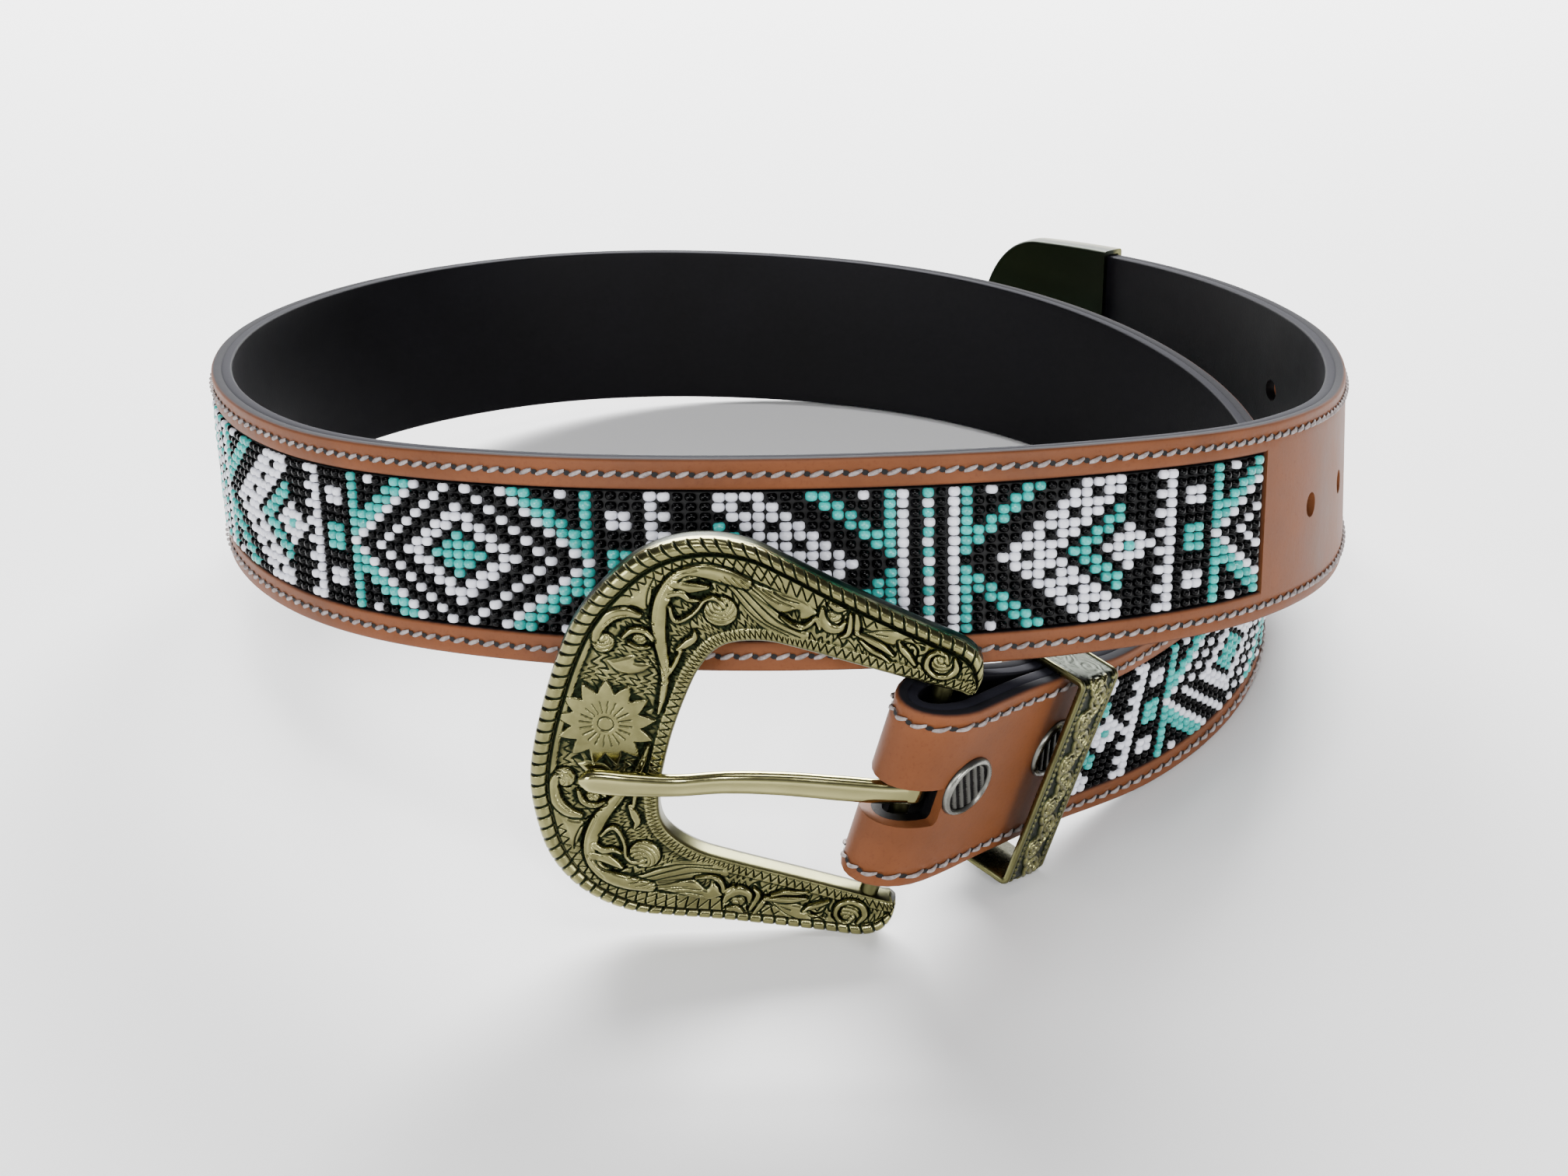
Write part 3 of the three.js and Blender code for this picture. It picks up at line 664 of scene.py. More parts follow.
def build_stitches():
    """Twisted cord stitches: each rises from its hole, lies slanting, and goes down into the next."""
    t = np.linspace(0, 1, 7)
    ring = circle(6)
    height = 0.50 * np.sin(math.pi * np.clip(t, 0.06, 0.94)) - 0.16
    radius = 0.46 * (0.62 + 0.38 * np.sin(math.pi * t))

    def stitch(v, w):
        centre_v = v + 0.48 + t * (STITCH - 0.90)
        centre_w = w + 0.40 * (t - 0.5) * 2
        return [skin(centre_v[k], centre_w[k] + radius[k] * np.cos(ring),
                     -(height[k] + radius[k] * np.sin(ring) * 0.8)) for k in range(len(t))]

    start = math.ceil((-FOLD_LENGTH - LEAF_LENGTH + 3) / STITCH)
    stop = int((COURSE_LENGTH - 40) / STITCH)
    holes = [(k * STITCH, w) for w in (HIGH_LINE, LOW_LINE) for k in range(start, stop)]
    strands = np.array([stitch(v, w) for v, w in holes])
    faces = grid_faces(len(t), len(ring), wrap_columns=True)
    cord = make_mesh("stitches", strands, copies(len(t) * len(ring), faces, len(holes)))
    recalculate(cord)
    finish_piece(cord, CORD, "strap")
    # Painted shade: flat near-black discs, in the weft's material, stand in for the dark inside of each
    # stitch hole
    angles = circle(8)
    hole_shade_discs = [skin(v + 0.05 + 0.62 * np.cos(angles), w + 0.50 * np.sin(angles), -0.03) for v, w in holes]
    dark = make_mesh("stitch_hole_shade", hole_shade_discs, np.arange(8 * len(holes)).reshape(-1, 8))
    finish_piece(dark, WEFT_AND_HOLE_SHADE, "strap")


build_stitches()


# Buckle: origin on the bar, x to the right, y up along the bar, z to the front
BAR = np.array([22.13, -113.80, 32.73])
RIGHT = np.array([0.96088, -0.04958, -0.27249])
ALONG_BAR = np.array([0.27431, 0.03451, 0.96102])
FRONT = np.array([-0.03824, -0.99817, 0.04676])


def on_buckle(x, y, z):
    return (BAR + np.asarray(x)[..., None] * RIGHT + np.asarray(y)[..., None] * ALONG_BAR
            + np.asarray(z)[..., None] * FRONT)


REACH = 66.0
HALF_HEIGHT = 39.3
DROP = 1.8
ROPE_PITCH = 2.35
ROPE_RADIUS = 1.68
ROPE_SLANT = 0.35
ROPE_ANGLES = np.radians(np.linspace(-15, 148, 15))
FIELD = 2.2
OUTER = np.array([
    [-0.082, 0.600], [-0.084, 0.680], [-0.065, 0.760], [-0.015, 0.812], [0.094, 0.842],
    [0.233, 0.882], [0.373, 0.925], [0.513, 0.975], [0.606, 1.000], [0.707, 0.981],
    [0.800, 0.912], [0.879, 0.790], [0.940, 0.610], [0.979, 0.430], [0.996, 0.220], [1.000, 0.000],
])
INNER = np.array([
    [-0.060, 0.580], [0.100, 0.578], [0.233, 0.580], [0.388, 0.583], [0.482, 0.576],
    [0.560, 0.533], [0.603, 0.471], [0.627, 0.375], [0.640, 0.250], [0.648, 0.000],
])
# Row of the outer outline and the row of the inner outline across the frame from it
FACING = np.array([[0, 0], [2, 0.15], [4, 0.9], [5, 1.9], [6, 2.7], [8, 3.9], [9, 4.5], [10, 5.1],
                   [11, 5.9], [12, 6.7], [13, 7.5], [14, 8.2], [15, 9]])


def spline(points, u):
    """Catmull-Rom curve through points (n, k) at parameters u."""
    points = np.asarray(points, float)
    padded = np.concatenate([[2 * points[0] - points[1]], points, [2 * points[-1] - points[-2]]])
    i = np.clip(np.floor(u).astype(int), 0, len(points) - 2)
    t = (u - i)[:, None]
    a, b, c, d = padded[i], padded[i + 1], padded[i + 2], padded[i + 3]
    return 0.5 * (2 * b + (c - a) * t + (2 * a - 5 * b + 4 * c - d) * t**2
                  + (3 * b - 3 * c + d - a) * t**3)


def smooth_line(points, spacing=0.25):
    """Points along a curve through the given ones; extra columns such as widths go with them."""
    points = np.asarray(points, float)
    u = np.linspace(0, len(points) - 1, 24 * (len(points) - 1) + 1)
    line = spline(points, u)
    run = run_along(line[:, :2])
    places = np.linspace(0, run[-1], max(3, int(run[-1] / spacing) + 1))
    return np.stack([np.interp(places, run, line[:, k]) for k in range(line.shape[1])], -1)


def mirrored_outline(rows):
    upper = rows * [REACH, HALF_HEIGHT]
    return np.concatenate([upper, (upper * [1, -1])[-2::-1]])


def smoothstep(low, high, x):
    t = np.clip((x - low) / (high - low), 0, 1)
    return t * t * (3 - 2 * t)


# Relief of the frame's upper half, mirrored to the lower half: (left of the bar, above the middle)
# Ridges: height, then points with widths.
RIDGES = [
    (0.62, [(46.2, 3.6, 0.7), (46.3, 7.0, 1.3), (47.0, 11.5, 1.7), (48.2, 14.5, 2.0), (49.6, 17.8, 2.3),
            (50.7, 21.2, 2.7), (51.2, 25.0, 2.8), (50.6, 28.4, 2.6), (49.0, 31.0, 2.6), (46.2, 32.7, 2.8),
            (42.5, 33.0, 3.0), (38.5, 32.6, 2.4)]),
    (0.50, [(50.1, 29.0, 1.3), (48.0, 28.9, 2.2), (45.8, 29.5, 1.6), (44.4, 30.0, 0.8)]),
    (0.46, [(50.3, 26.6, 1.0), (48.6, 27.5, 1.4), (46.8, 26.8, 1.0), (45.2, 27.1, 0.6)]),
    (0.50, [(49.6, 24.4, 0.7), (48.8, 22.8, 0.9), (47.8, 22.1, 1.0), (46.3, 23.2, 0.9), (45.0, 25.3, 0.8),
            (44.3, 27.4, 0.8), (42.9, 28.3, 0.9), (41.5, 27.9, 0.9), (40.7, 27.2, 0.8)]),
    (0.52, [(54.2, 21.3, 1.2), (56.4, 21.3, 2.0), (58.4, 20.2, 2.3), (59.7, 18.4, 2.3), (60.3, 16.6, 2.0),
            (60.4, 14.6, 1.2)]),
    (0.50, [(55.8, 16.4, 0.8), (54.6, 18.2, 1.2), (52.6, 18.6, 1.2), (50.8, 17.4, 0.8)]),
    (0.50, [(54.6, 15.6, 0.7), (52.6, 15.2, 0.9), (50.9, 15.9, 0.7)]),
    (0.44, [(44.3, 21.0, 0.6), (44.1, 19.7, 1.4), (45.0, 18.4, 1.6), (46.2, 16.8, 0.8)]),
    (0.44, [(46.9, 10.2, 0.7), (46.0, 13.6, 1.0), (45.6, 16.6, 0.8)]),
    (0.56, [(30.9, 28.2, 0.6), (28.8, 27.3, 1.0), (27.1, 27.3, 1.1), (25.9, 28.4, 1.0), (25.3, 29.7, 0.9),
            (24.6, 29.0, 1.0), (24.0, 27.9, 0.6)]),
    (0.56, [(24.7, 31.6, 0.9), (24.2, 30.0, 1.6), (22.7, 28.6, 2.0), (20.9, 28.9, 1.6), (20.3, 30.3, 0.9)]),
    (0.50, [(23.6, 33.0, 1.0), (22.2, 32.6, 1.6), (21.0, 33.0, 0.8)]),
    (0.50, [(19.8, 32.0, 0.7), (19.3, 30.4, 1.2), (19.2, 28.4, 1.1), (20.2, 27.4, 0.6)]),
    (0.55, [(18.9, 32.5, 0.7), (18.2, 30.6, 1.2), (17.8, 28.9, 1.0)]),
    (0.50, [(17.8, 28.9, 0.8), (15.2, 28.3, 1.4), (12.8, 27.6, 1.3), (10.6, 26.6, 0.5)]),
    (0.46, [(16.8, 27.8, 0.6), (14.8, 26.6, 1.0), (12.6, 26.0, 0.9), (10.8, 25.2, 0.4)]),
    (0.56, [(10.4, 29.4, 0.6), (9.4, 28.2, 1.2), (8.0, 27.2, 1.1), (6.6, 26.0, 0.7)]),
    (0.60, [(0.2, 28.9, 0.7), (-0.5, 27.0, 1.3), (0.6, 25.2, 1.3), (2.6, 24.8, 1.2), (4.4, 26.0, 1.1),
            (4.7, 28.0, 1.0), (3.6, 29.4, 0.9), (2.0, 29.3, 0.8), (1.4, 28.0, 0.8)]),
]
# Leaves: height, then the outline of a filled shape.
LEAVES = [
    (0.55, [(47.0, 34.0), (42.0, 33.9), (37.0, 33.0), (33.0, 32.8), (30.0, 32.8), (27.0, 32.2), (25.4, 30.9),
            (24.7, 32.3), (24.3, 30.9), (25.4, 29.9), (27.6, 28.6), (28.6, 30.2), (31.0, 28.9), (34.0, 29.6),
            (38.0, 31.0), (43.0, 31.4)]),
    (0.42, [(43.2, 32.5), (40.0, 32.3), (35.0, 30.4), (31.0, 28.4), (28.0, 27.0), (25.6, 26.4), (25.8, 24.8),
            (29.0, 24.3), (33.0, 25.0), (36.4, 26.8), (39.0, 29.2), (41.4, 31.2)]),
    (0.50, [(53.8, 29.3), (55.4, 26.2), (58.0, 22.4), (55.5, 22.7), (53.6, 22.5), (53.0, 23.8),
            (53.2, 26.1)]),
    (0.46, [(57.4, 11.0), (53.2, 13.4), (52.6, 12.2), (50.0, 12.4), (50.8, 10.7), (52.9, 9.5), (55.5, 9.6)]),
    (0.58, [(17.9, 28.9), (15.6, 30.3), (13.5, 31.8), (10.6, 32.5), (7.4, 32.7), (4.7, 32.7), (2.1, 31.8),
            (0.6, 30.2), (0.1, 28.6), (2.2, 28.8), (4.6, 29.6), (5.6, 28.2), (6.2, 30.2), (9.0, 30.2),
            (10.4, 28.6), (13.0, 28.4)]),
]
# Round bosses: centre, radius, height, then the number of arcs cut in it.
BOSSES = [
    (41.1, 26.1, 2.9, 0.55, 4),
    (58.8, 14.3, 2.0, 0.55, 3),
    (53.0, 16.8, 1.3, 0.35, 2),
    (2.0, 27.4, 2.1, 0.62, 3),
    (22.4, 30.6, 1.5, 0.45, 2),
]
# Cuts: width, depth, then points.
CUTS = [
    (0.34, 0.30, [(53.6, 28.7), (53.9, 26.4), (53.6, 24.0), (53.0, 23.0)]),
    (0.30, 0.25, [(52.4, 21.5), (52.6, 25.2), (52.2, 28.6), (50.8, 31.4), (48.6, 33.1)]),
    (0.28, 0.22, [(51.4, 20.6), (51.8, 25.4), (51.2, 28.8), (49.8, 31.2), (47.0, 33.0)]),
    (0.50, 0.45, [(49.4, 29.9), (48.2, 31.1), (46.2, 31.4), (44.4, 30.9), (43.5, 29.8)]),
    (0.28, 0.28, [(50.9, 13.8), (48.6, 11.6), (47.0, 9.4)]),
    (0.28, 0.28, [(50.2, 16.0), (48.6, 13.4), (47.0, 10.6), (46.4, 6.0)]),
    (0.28, 0.28, [(51.8, 17.6), (50.0, 15.8), (48.4, 13.0)]),
    (0.26, 0.25, [(48.7, 17.6), (48.0, 14.8), (47.2, 12.2)]),
    (0.26, 0.25, [(47.7, 18.6), (47.6, 15.6), (47.2, 12.6)]),
    (0.28, 0.25, [(54.4, 20.2), (52.6, 19.6), (50.8, 18.8)]),
    (0.28, 0.25, [(53.2, 22.0), (52.4, 21.2), (51.4, 20.4)]),
    (0.28, 0.25, [(52.3, 18.6), (51.2, 17.9), (50.2, 17.2)]),
    (0.24, 0.25, [(59.6, 17.8), (58.2, 19.8), (56.2, 20.8)]),
    (0.24, 0.25, [(59.1, 16.6), (58.0, 18.6), (56.4, 19.8)]),
    (0.26, 0.25, [(42.9, 32.0), (40.2, 30.3), (37.5, 28.1), (34.0, 26.2), (28.8, 24.9)]),
    (0.26, 0.25, [(42.3, 32.9), (38.8, 30.4), (35.6, 28.1), (32.4, 26.3), (26.8, 25.2)]),
    (0.26, 0.25, [(41.0, 33.2), (37.6, 30.9), (34.0, 28.6), (31.0, 27.1), (27.0, 26.3)]),
    (0.26, 0.25, [(39.5, 33.1), (36.0, 31.3), (33.0, 29.5), (30.0, 28.1), (27.0, 27.2)]),
    (0.26, 0.22, [(37.5, 32.9), (34.6, 31.4), (31.8, 30.6)]),
    (0.26, 0.22, [(35.5, 32.4), (32.6, 31.2), (29.4, 30.6)]),
    (0.26, 0.22, [(33.5, 32.4), (31.2, 31.7), (28.8, 31.6)]),
    (0.26, 0.20, [(16.4, 29.4), (13.4, 30.9), (10.0, 31.5), (7.2, 31.6)]),
    (0.26, 0.20, [(14.6, 29.7), (12.6, 29.9)]),
    (0.26, 0.20, [(8.5, 30.6), (7.0, 29.8)]),
    (0.26, 0.20, [(4.4, 30.7), (2.7, 29.5)]),
    (0.26, 0.20, [(4.6, 31.8), (1.9, 30.0)]),
    (0.26, 0.20, [(22.7, 33.2), (21.2, 33.4)]),
    (0.40, 0.40, [(9.6, 28.9), (8.4, 29.6), (6.8, 28.6), (6.6, 26.8)]),
]
FLOWER = (54.5, -1.3)
FLOWER_RADIUS = 8.9
PETALS = 13
RAYS = 20
# Width of the polished band along the rope, by distance left of the bar
BAND = np.array([[-2, 0.2], [6, 0.6], [12, 1.4], [20, 2.6], [28, 3.0], [34, 3.5], [46, 3.4], [52, 3.0],
                 [56, 2.4], [60, 1.2]])


def line_distance(x, y, line):
    """Distance from points to a line, with the line's extra column at the nearest place."""
    best = np.full(x.shape, 1e9)
    extra = np.zeros(x.shape)
    for a, b in zip(line[:-1], line[1:]):
        d = b[:2] - a[:2]
        t = np.clip(((x - a[0]) * d[0] + (y - a[1]) * d[1]) / max(d @ d, 1e-12), 0, 1)
        far = np.hypot(x - a[0] - t * d[0], y - a[1] - t * d[1])
        near = far < best
        best[near] = far[near]
        if line.shape[1] > 2:
            extra[near] = (a[2] + t * (b[2] - a[2]))[near]
    return best, extra


def inside(x, y, outline):
    result = np.zeros(x.shape, bool)
    for a, b in zip(outline, np.roll(outline, -1, axis=0)):
        crosses = (a[1] > y) != (b[1] > y)
        slope = (b[0] - a[0]) * (y - a[1]) / np.where(b[1] == a[1], 1e-9, b[1] - a[1]) + a[0]
        result ^= crosses & (x < slope)
    return result


def near_line(a, b, line, margin):
    """For the upper half and the lower one: what is near a line, its places, distances and widths."""
    low = line[:, :2].min(axis=0) - margin
    high = line[:, :2].max(axis=0) + margin
    for sign in (1, -1):
        y = b * sign
        box = (a > low[0]) & (a < high[0]) & (y > low[1]) & (y < high[1])
        if box.any():
            yield box, a[box], y[box], *line_distance(a[box], y[box], line)


def zigzag(run, across, pitch, height, width):
    """1 on a zig-zag line: run is the length along it, across the distance from its base."""
    wave = np.abs((run / pitch) % 1 - 0.5) * 2 * height
    slope = np.hypot(1, 2 * height / pitch)
    return smoothstep(width, 0.3 * width, np.abs(across - wave) / slope)


def relief(a, b, run, from_rim, from_inner):
    """Height over the flat face of the frame at plan points a (left of the bar), b (up)."""
    # Chased ground: rows of zig-zag tool marks
    drift = 0.5 * np.sin(run * 0.9) + 0.4 * np.sin(from_rim * 1.3 + run * 0.35)
    row = (from_rim + drift * 0.4) % 1.9
    height = -0.20 - 0.28 * zigzag(run + drift, row, 1.8, 1.6, 0.21)

    # Polished band along the rope, with two rows of zig-zag that give way to one tall row
    upper = np.abs(b)
    wide = np.where(upper < 22, 1.0, np.interp(a, BAND[:, 0], BAND[:, 1]))
    band = smoothstep(wide + 0.25, wide, from_rim) * smoothstep(-0.1, 0.1, from_rim)
    tall = (a < 32.5) & (upper > 24)
    one = zigzag(run, from_rim - 0.2, 2.4, np.clip(wide - 0.3, 0.2, 3), 0.21)
    two = np.maximum(zigzag(run, from_rim - 0.2, 2.0, 1.5, 0.2),
                     zigzag(run + 1.0, from_rim - 1.9, 2.0, 1.4, 0.2))
    lines = np.where(tall, one, two) * (upper > 24)
    height = height * (1 - band) + (0.08 - 0.34 * lines) * band

    # Teeth along the inner edge
    edge = smoothstep(2.7, 2.4, from_inner)
    teeth = zigzag(run, from_inner - 0.7, 1.7, 1.6, 0.2)
    teeth_height = 0.04 - 0.32 * teeth
    height = height * (1 - edge) + teeth_height * edge

    for lift, points in LEAVES:
        line = smooth_line(points + points[:1], 0.4)
        for box, x, y, distance, _ in near_line(a, b, line, 0.3):
            depth = np.where(inside(x, y, line), distance, -distance)
            dome = lift * np.sqrt(np.clip(depth / 0.7, 0, 1)) * 0.8
            top = dome + 0.2 * lift * smoothstep(0, 2.5, depth) - 0.25
            height[box] = np.where(depth > 0, np.maximum(height[box], top), height[box])
    for x0, y0, radius, lift, arcs in BOSSES:
        for sign in (1, -1):
            r = np.hypot(a - x0, b * sign - y0)
            top = lift * np.sqrt(np.clip(1 - (r / radius) ** 2, 0, 1)) - 0.1
            low = np.hypot(a - x0 - 0.2 * radius, b * sign - y0 - 0.55 * radius)
            for k in range(arcs):
                at = radius * (0.45 + 0.95 * k / max(arcs - 0.5, 1))
                top -= 0.2 * smoothstep(0.20, 0.06, np.abs(low - at)) * (r < 0.92 * radius)
            height = np.where(r < radius, np.maximum(height, top), height)
            height -= 0.22 * smoothstep(0.3, 0.05, np.abs(r - radius - 0.1))
    for lift, points in RIDGES:
        for box, _, _, distance, width in near_line(a, b, smooth_line(points, 0.35), 2.2):
            half = np.maximum(width, 0.3) / 2
            top = lift * np.sqrt(np.clip(1 - (distance / half) ** 2, 0, 1)) - 0.05
            now = np.where(distance < half, np.maximum(height[box], top), height[box])
            height[box] = now - 0.20 * smoothstep(0.30, 0.05, np.abs(distance - half - 0.12))
    for width, depth, points in CUTS:
        for box, _, _, distance, _ in near_line(a, b, smooth_line(points, 0.3), 0.6):
            height[box] -= depth * smoothstep(width / 2 + 0.08, 0.04, distance)

    # Flower: a flat star of petals with a ring and rays cut in it
    x, y = a - FLOWER[0], b - FLOWER[1]
    r = np.hypot(x, y)
    turn = np.arctan2(y, x)
    share = np.abs((turn / (2 * math.pi) * PETALS + 0.25) % 1 - 0.5) * 2
    reach = FLOWER_RADIUS * (0.70 + 0.30 * share)
    star = 0.34 * smoothstep(0, 0.35, reach - r) - 0.12 * smoothstep(3, 9, r)
    rays = np.abs((turn / (2 * math.pi) * RAYS) % 1 - 0.5) * 2 * math.pi * np.maximum(r, 0.5) / RAYS
    star -= 0.16 * smoothstep(0.20, 0.06, rays) * smoothstep(2.2, 2.4, r) * smoothstep(4.9, 4.6, r)
    star -= 0.16 * smoothstep(0.22, 0.06, np.abs(r - 1.4))
    return np.where(r < reach, star, height)


def box_blur(values, size):
    """Mean over a square window; values at the edges are repeated beyond them."""
    for axis in (0, 1):
        pad = [(0, 0), (0, 0)]
        pad[axis] = (size + 1, size)
        summed = np.cumsum(np.pad(values, pad, mode="edge"), axis=axis)
        count = values.shape[axis]
        high = np.take(summed, np.arange(2 * size + 1, 2 * size + 1 + count), axis=axis)
        low = np.take(summed, np.arange(0, count), axis=axis)
        values = (high - low) / (2 * size + 1)
    return values


def grid_normals(points):
    """Smooth normals of a grid whose second direction is closed."""
    along = np.gradient(points, axis=0)
    across = np.roll(points, -1, axis=1) - np.roll(points, 1, axis=1)
    return unit(np.cross(along, across) + 1e-12)


def rope_cut(places, theta, width):
    """1 in the cut between two strands of the rope, at places along it and an angle round it."""
    phase = (places + ROPE_SLANT * (theta - 1.2)) / ROPE_PITCH
    return np.exp(-((((phase % 1) - 0.5) / width) ** 2)) * smoothstep(-0.1, 0.4, theta)


def build_buckle():
    columns, field_rows, spread = 1400, 92, 20
    outer_rows = mirrored_outline(OUTER)
    inner_rows = mirrored_outline(INNER)
    fine = np.linspace(0, len(outer_rows) - 1, 12000)
    run = run_along(spline(outer_rows, fine))
    places = np.linspace(0, run[-1], columns)
    u = np.interp(places, run, fine)
    half = len(OUTER) - 1
    facing_u = np.where(u <= half, u, 2 * half - u)
    inner_half = np.interp(facing_u, FACING[:, 0], FACING[:, 1])
    inner_u = np.where(u <= half, inner_half, 2 * (len(INNER) - 1) - inner_half)
    padded = np.concatenate([2 * inner_u[0] - inner_u[spread:0:-1], inner_u,
                             2 * inner_u[-1] - inner_u[-2:-2 - spread:-1]])
    window = 2 * spread + 1
    inner_u = np.convolve(padded, np.ones(window) / window, "valid")
    outer = spline(outer_rows, u)
    inner = spline(inner_rows, np.clip(inner_u, 0, len(inner_rows) - 1))
    width = np.linalg.norm(outer - inner, axis=1)
    ways = (inner - outer) / width[:, None]

    # Rows across, as distance in from the outline and height over the middle: the back and outer
    # wall, the rope, the groove beside it, the field of relief, then the inner wall
    scale = np.interp(outer[:, 0], [30, 62], [0.76, 0.98]) * np.clip((width - 1.0) / 5.5, 0.3, 1)
    start = 3.45 * scale
    reach = width - 0.55 * scale - start
    rows = [(0.5 * width, -2.2)]
    rows += [(d * scale, n) for d, n in ((0.9, -2.2), (0.25, -1.9), (0.0, -1.1), (0.0, 0.1))]
    rope = len(rows)
    for theta in ROPE_ANGLES:
        radius = ROPE_RADIUS * (1 - 0.22 * rope_cut(places, theta, 0.09))
        rows.append(((ROPE_RADIUS - radius * math.cos(theta)) * scale,
                     1.0 + radius * math.sin(theta) * (0.4 + 0.6 * scale)))
    groove = len(rows)
    rows.append((3.30 * scale, 1.55))
    first = len(rows)
    rows += [(start + reach * k / (field_rows - 1), FIELD) for k in range(field_rows)]
    last = len(rows)
    rows += [(width - d * scale, n) for d, n in ((0.18, 1.95), (0.0, 1.2), (0.0, -1.2), (0.4, -2.2))]
    d_rows = np.array([d for d, _ in rows]).T
    n_rows = np.array([np.broadcast_to(n, places.shape) for _, n in rows]).T
    plan = outer[:, None] + ways[:, None] * d_rows[..., None]
    a, b = plan[..., 0], plan[..., 1]
    field = np.s_[:, first:last]
    run_grid = np.broadcast_to(places[:, None], a.shape)
    height = relief(a[field], b[field], run_grid[field], d_rows[field] - start[:, None],
                    width[:, None] - d_rows[field])
    fade = smoothstep(0, 0.25, width[:, None] - d_rows[field] - 0.55)
    level = FIELD + height * (0.4 + 0.6 * fade) - 0.1 * (1 - fade)
    n_rows[field] = level
    patina_and_shade = np.full(a.shape, 0.35)
    patina_and_shade[field] = np.clip(0.36 + 3.8 * (box_blur(level, 5) - level) + 1.1 * (box_blur(level, 16) - level)
                            - 0.75 * (level - 2.15), 0, 1)
    patina_and_shade[:, rope:groove] = 0.12 + 0.9 * rope_cut(places[:, None], ROPE_ANGLES[None, :], 0.12)
    patina_and_shade[:, groove:groove + 3] = 1.0
    # Painted shade: the back and outer wall are darkened to damp the back light's flash on them
    patina_and_shade[:, :rope] = 0.75
    # Painted shade: the inner wall is darkened to damp its bright reflection
    patina_and_shade[:, last:] = 0.5
    points = on_buckle(-a, b - DROP, n_rows)
    normals = grid_normals(points)
    count = a.shape[1]
    inside_ring = on_buckle(-a.mean(axis=1), b.mean(axis=1) - DROP, np.zeros(columns))
    outward = np.sum(normals * (points - inside_ring[:, None]), axis=-1)
    turned = np.mean(outward) < 0
    if turned:
        normals = -normals
    middle = columns // 2
    for name, low, high in (("buckle_upper", 0, middle + 1), ("buckle_lower", middle, columns)):
        part = points[low:high]
        faces = grid_faces(high - low, count, wrap_columns=True)
        cap = list(range(count))[::-1] if low == 0 else [(high - low - 1) * count + j for j in range(count)]
        all_faces = faces.tolist() + [cap]
        if not turned:
            all_faces = [face[::-1] for face in all_faces]
        obj = make_mesh(name, part, all_faces)
        obj.data.normals_split_custom_set_from_vertices(normals[low:high].reshape(-1, 3).tolist())
        add_value(obj, "patina_and_shade", patina_and_shade[low:high])
        finish_piece(obj, ANTIQUE, "buckle", ["buckle_frame"] if low == 0 else [])
    angles = circle(32)
    rings = [on_buckle(1.75 * np.cos(angles), y - DROP, 1.75 * np.sin(angles))
             for y in np.linspace(-24.5, 24.5, 24)]
    add_solid("buckle_bar", tube(rings), 50, ANTIQUE, "buckle", patina_and_shade=0.45)


build_buckle()


PRONG = np.array([
    [0.00, 0.95, 0.96], [0.08, 1.08, 1.00], [0.20, 1.02, 1.04], [0.38, 0.86, 0.98], [0.55, 1.06, 0.92],
    [0.70, 1.74, 0.90], [0.84, 1.90, 1.00], [0.95, 1.80, 1.00], [1.00, 1.74, 0.55],
])


def build_prong():
    length, wide, thick = 58.0, 4.6, 2.8
    skew = math.radians(13.5)
    drop = 0.6
    rows = spline(PRONG, np.linspace(0, len(PRONG) - 1, 110))
    angles = circle(36)
    rings = []
    for share, front, narrow in rows:
        half = narrow * wide / 2
        round_tip = math.sqrt(max(0.02, 1 - max(0, (share - 0.965) / 0.037) ** 2))
        side = half * np.sign(np.cos(angles)) * np.abs(np.cos(angles)) ** 0.75 * round_tip
        tall = thick / 2 * min(1, 0.55 + half / wide)
        up = tall * np.sign(np.sin(angles)) * np.abs(np.sin(angles)) ** 0.8 * (0.4 + 0.6 * round_tip)
        run = share * length
        rings.append(on_buckle(-run * math.cos(skew) + side * math.sin(skew),
                               -run * math.sin(skew) - side * math.cos(skew) - drop, front * thick + up))
    add_solid("prong_shank", tube(rings), 60, BRIGHT, "tongue", ["prong"])
    profile = [(2.0, -2.3), (3.1, -2.3), (3.45, -2.0), (3.5, -1.6)]
    profile += [(r, -h) for r, h in profile[::-1]]
    turn = circle(40)
    rings = [on_buckle(r * np.cos(turn), h - drop, r * np.sin(turn)) for r, h in profile]
    shape = (rings, grid_faces(len(profile), len(turn), True, True))
    add_solid("prong_eye", shape, 50, BRIGHT, "tongue")


build_prong()


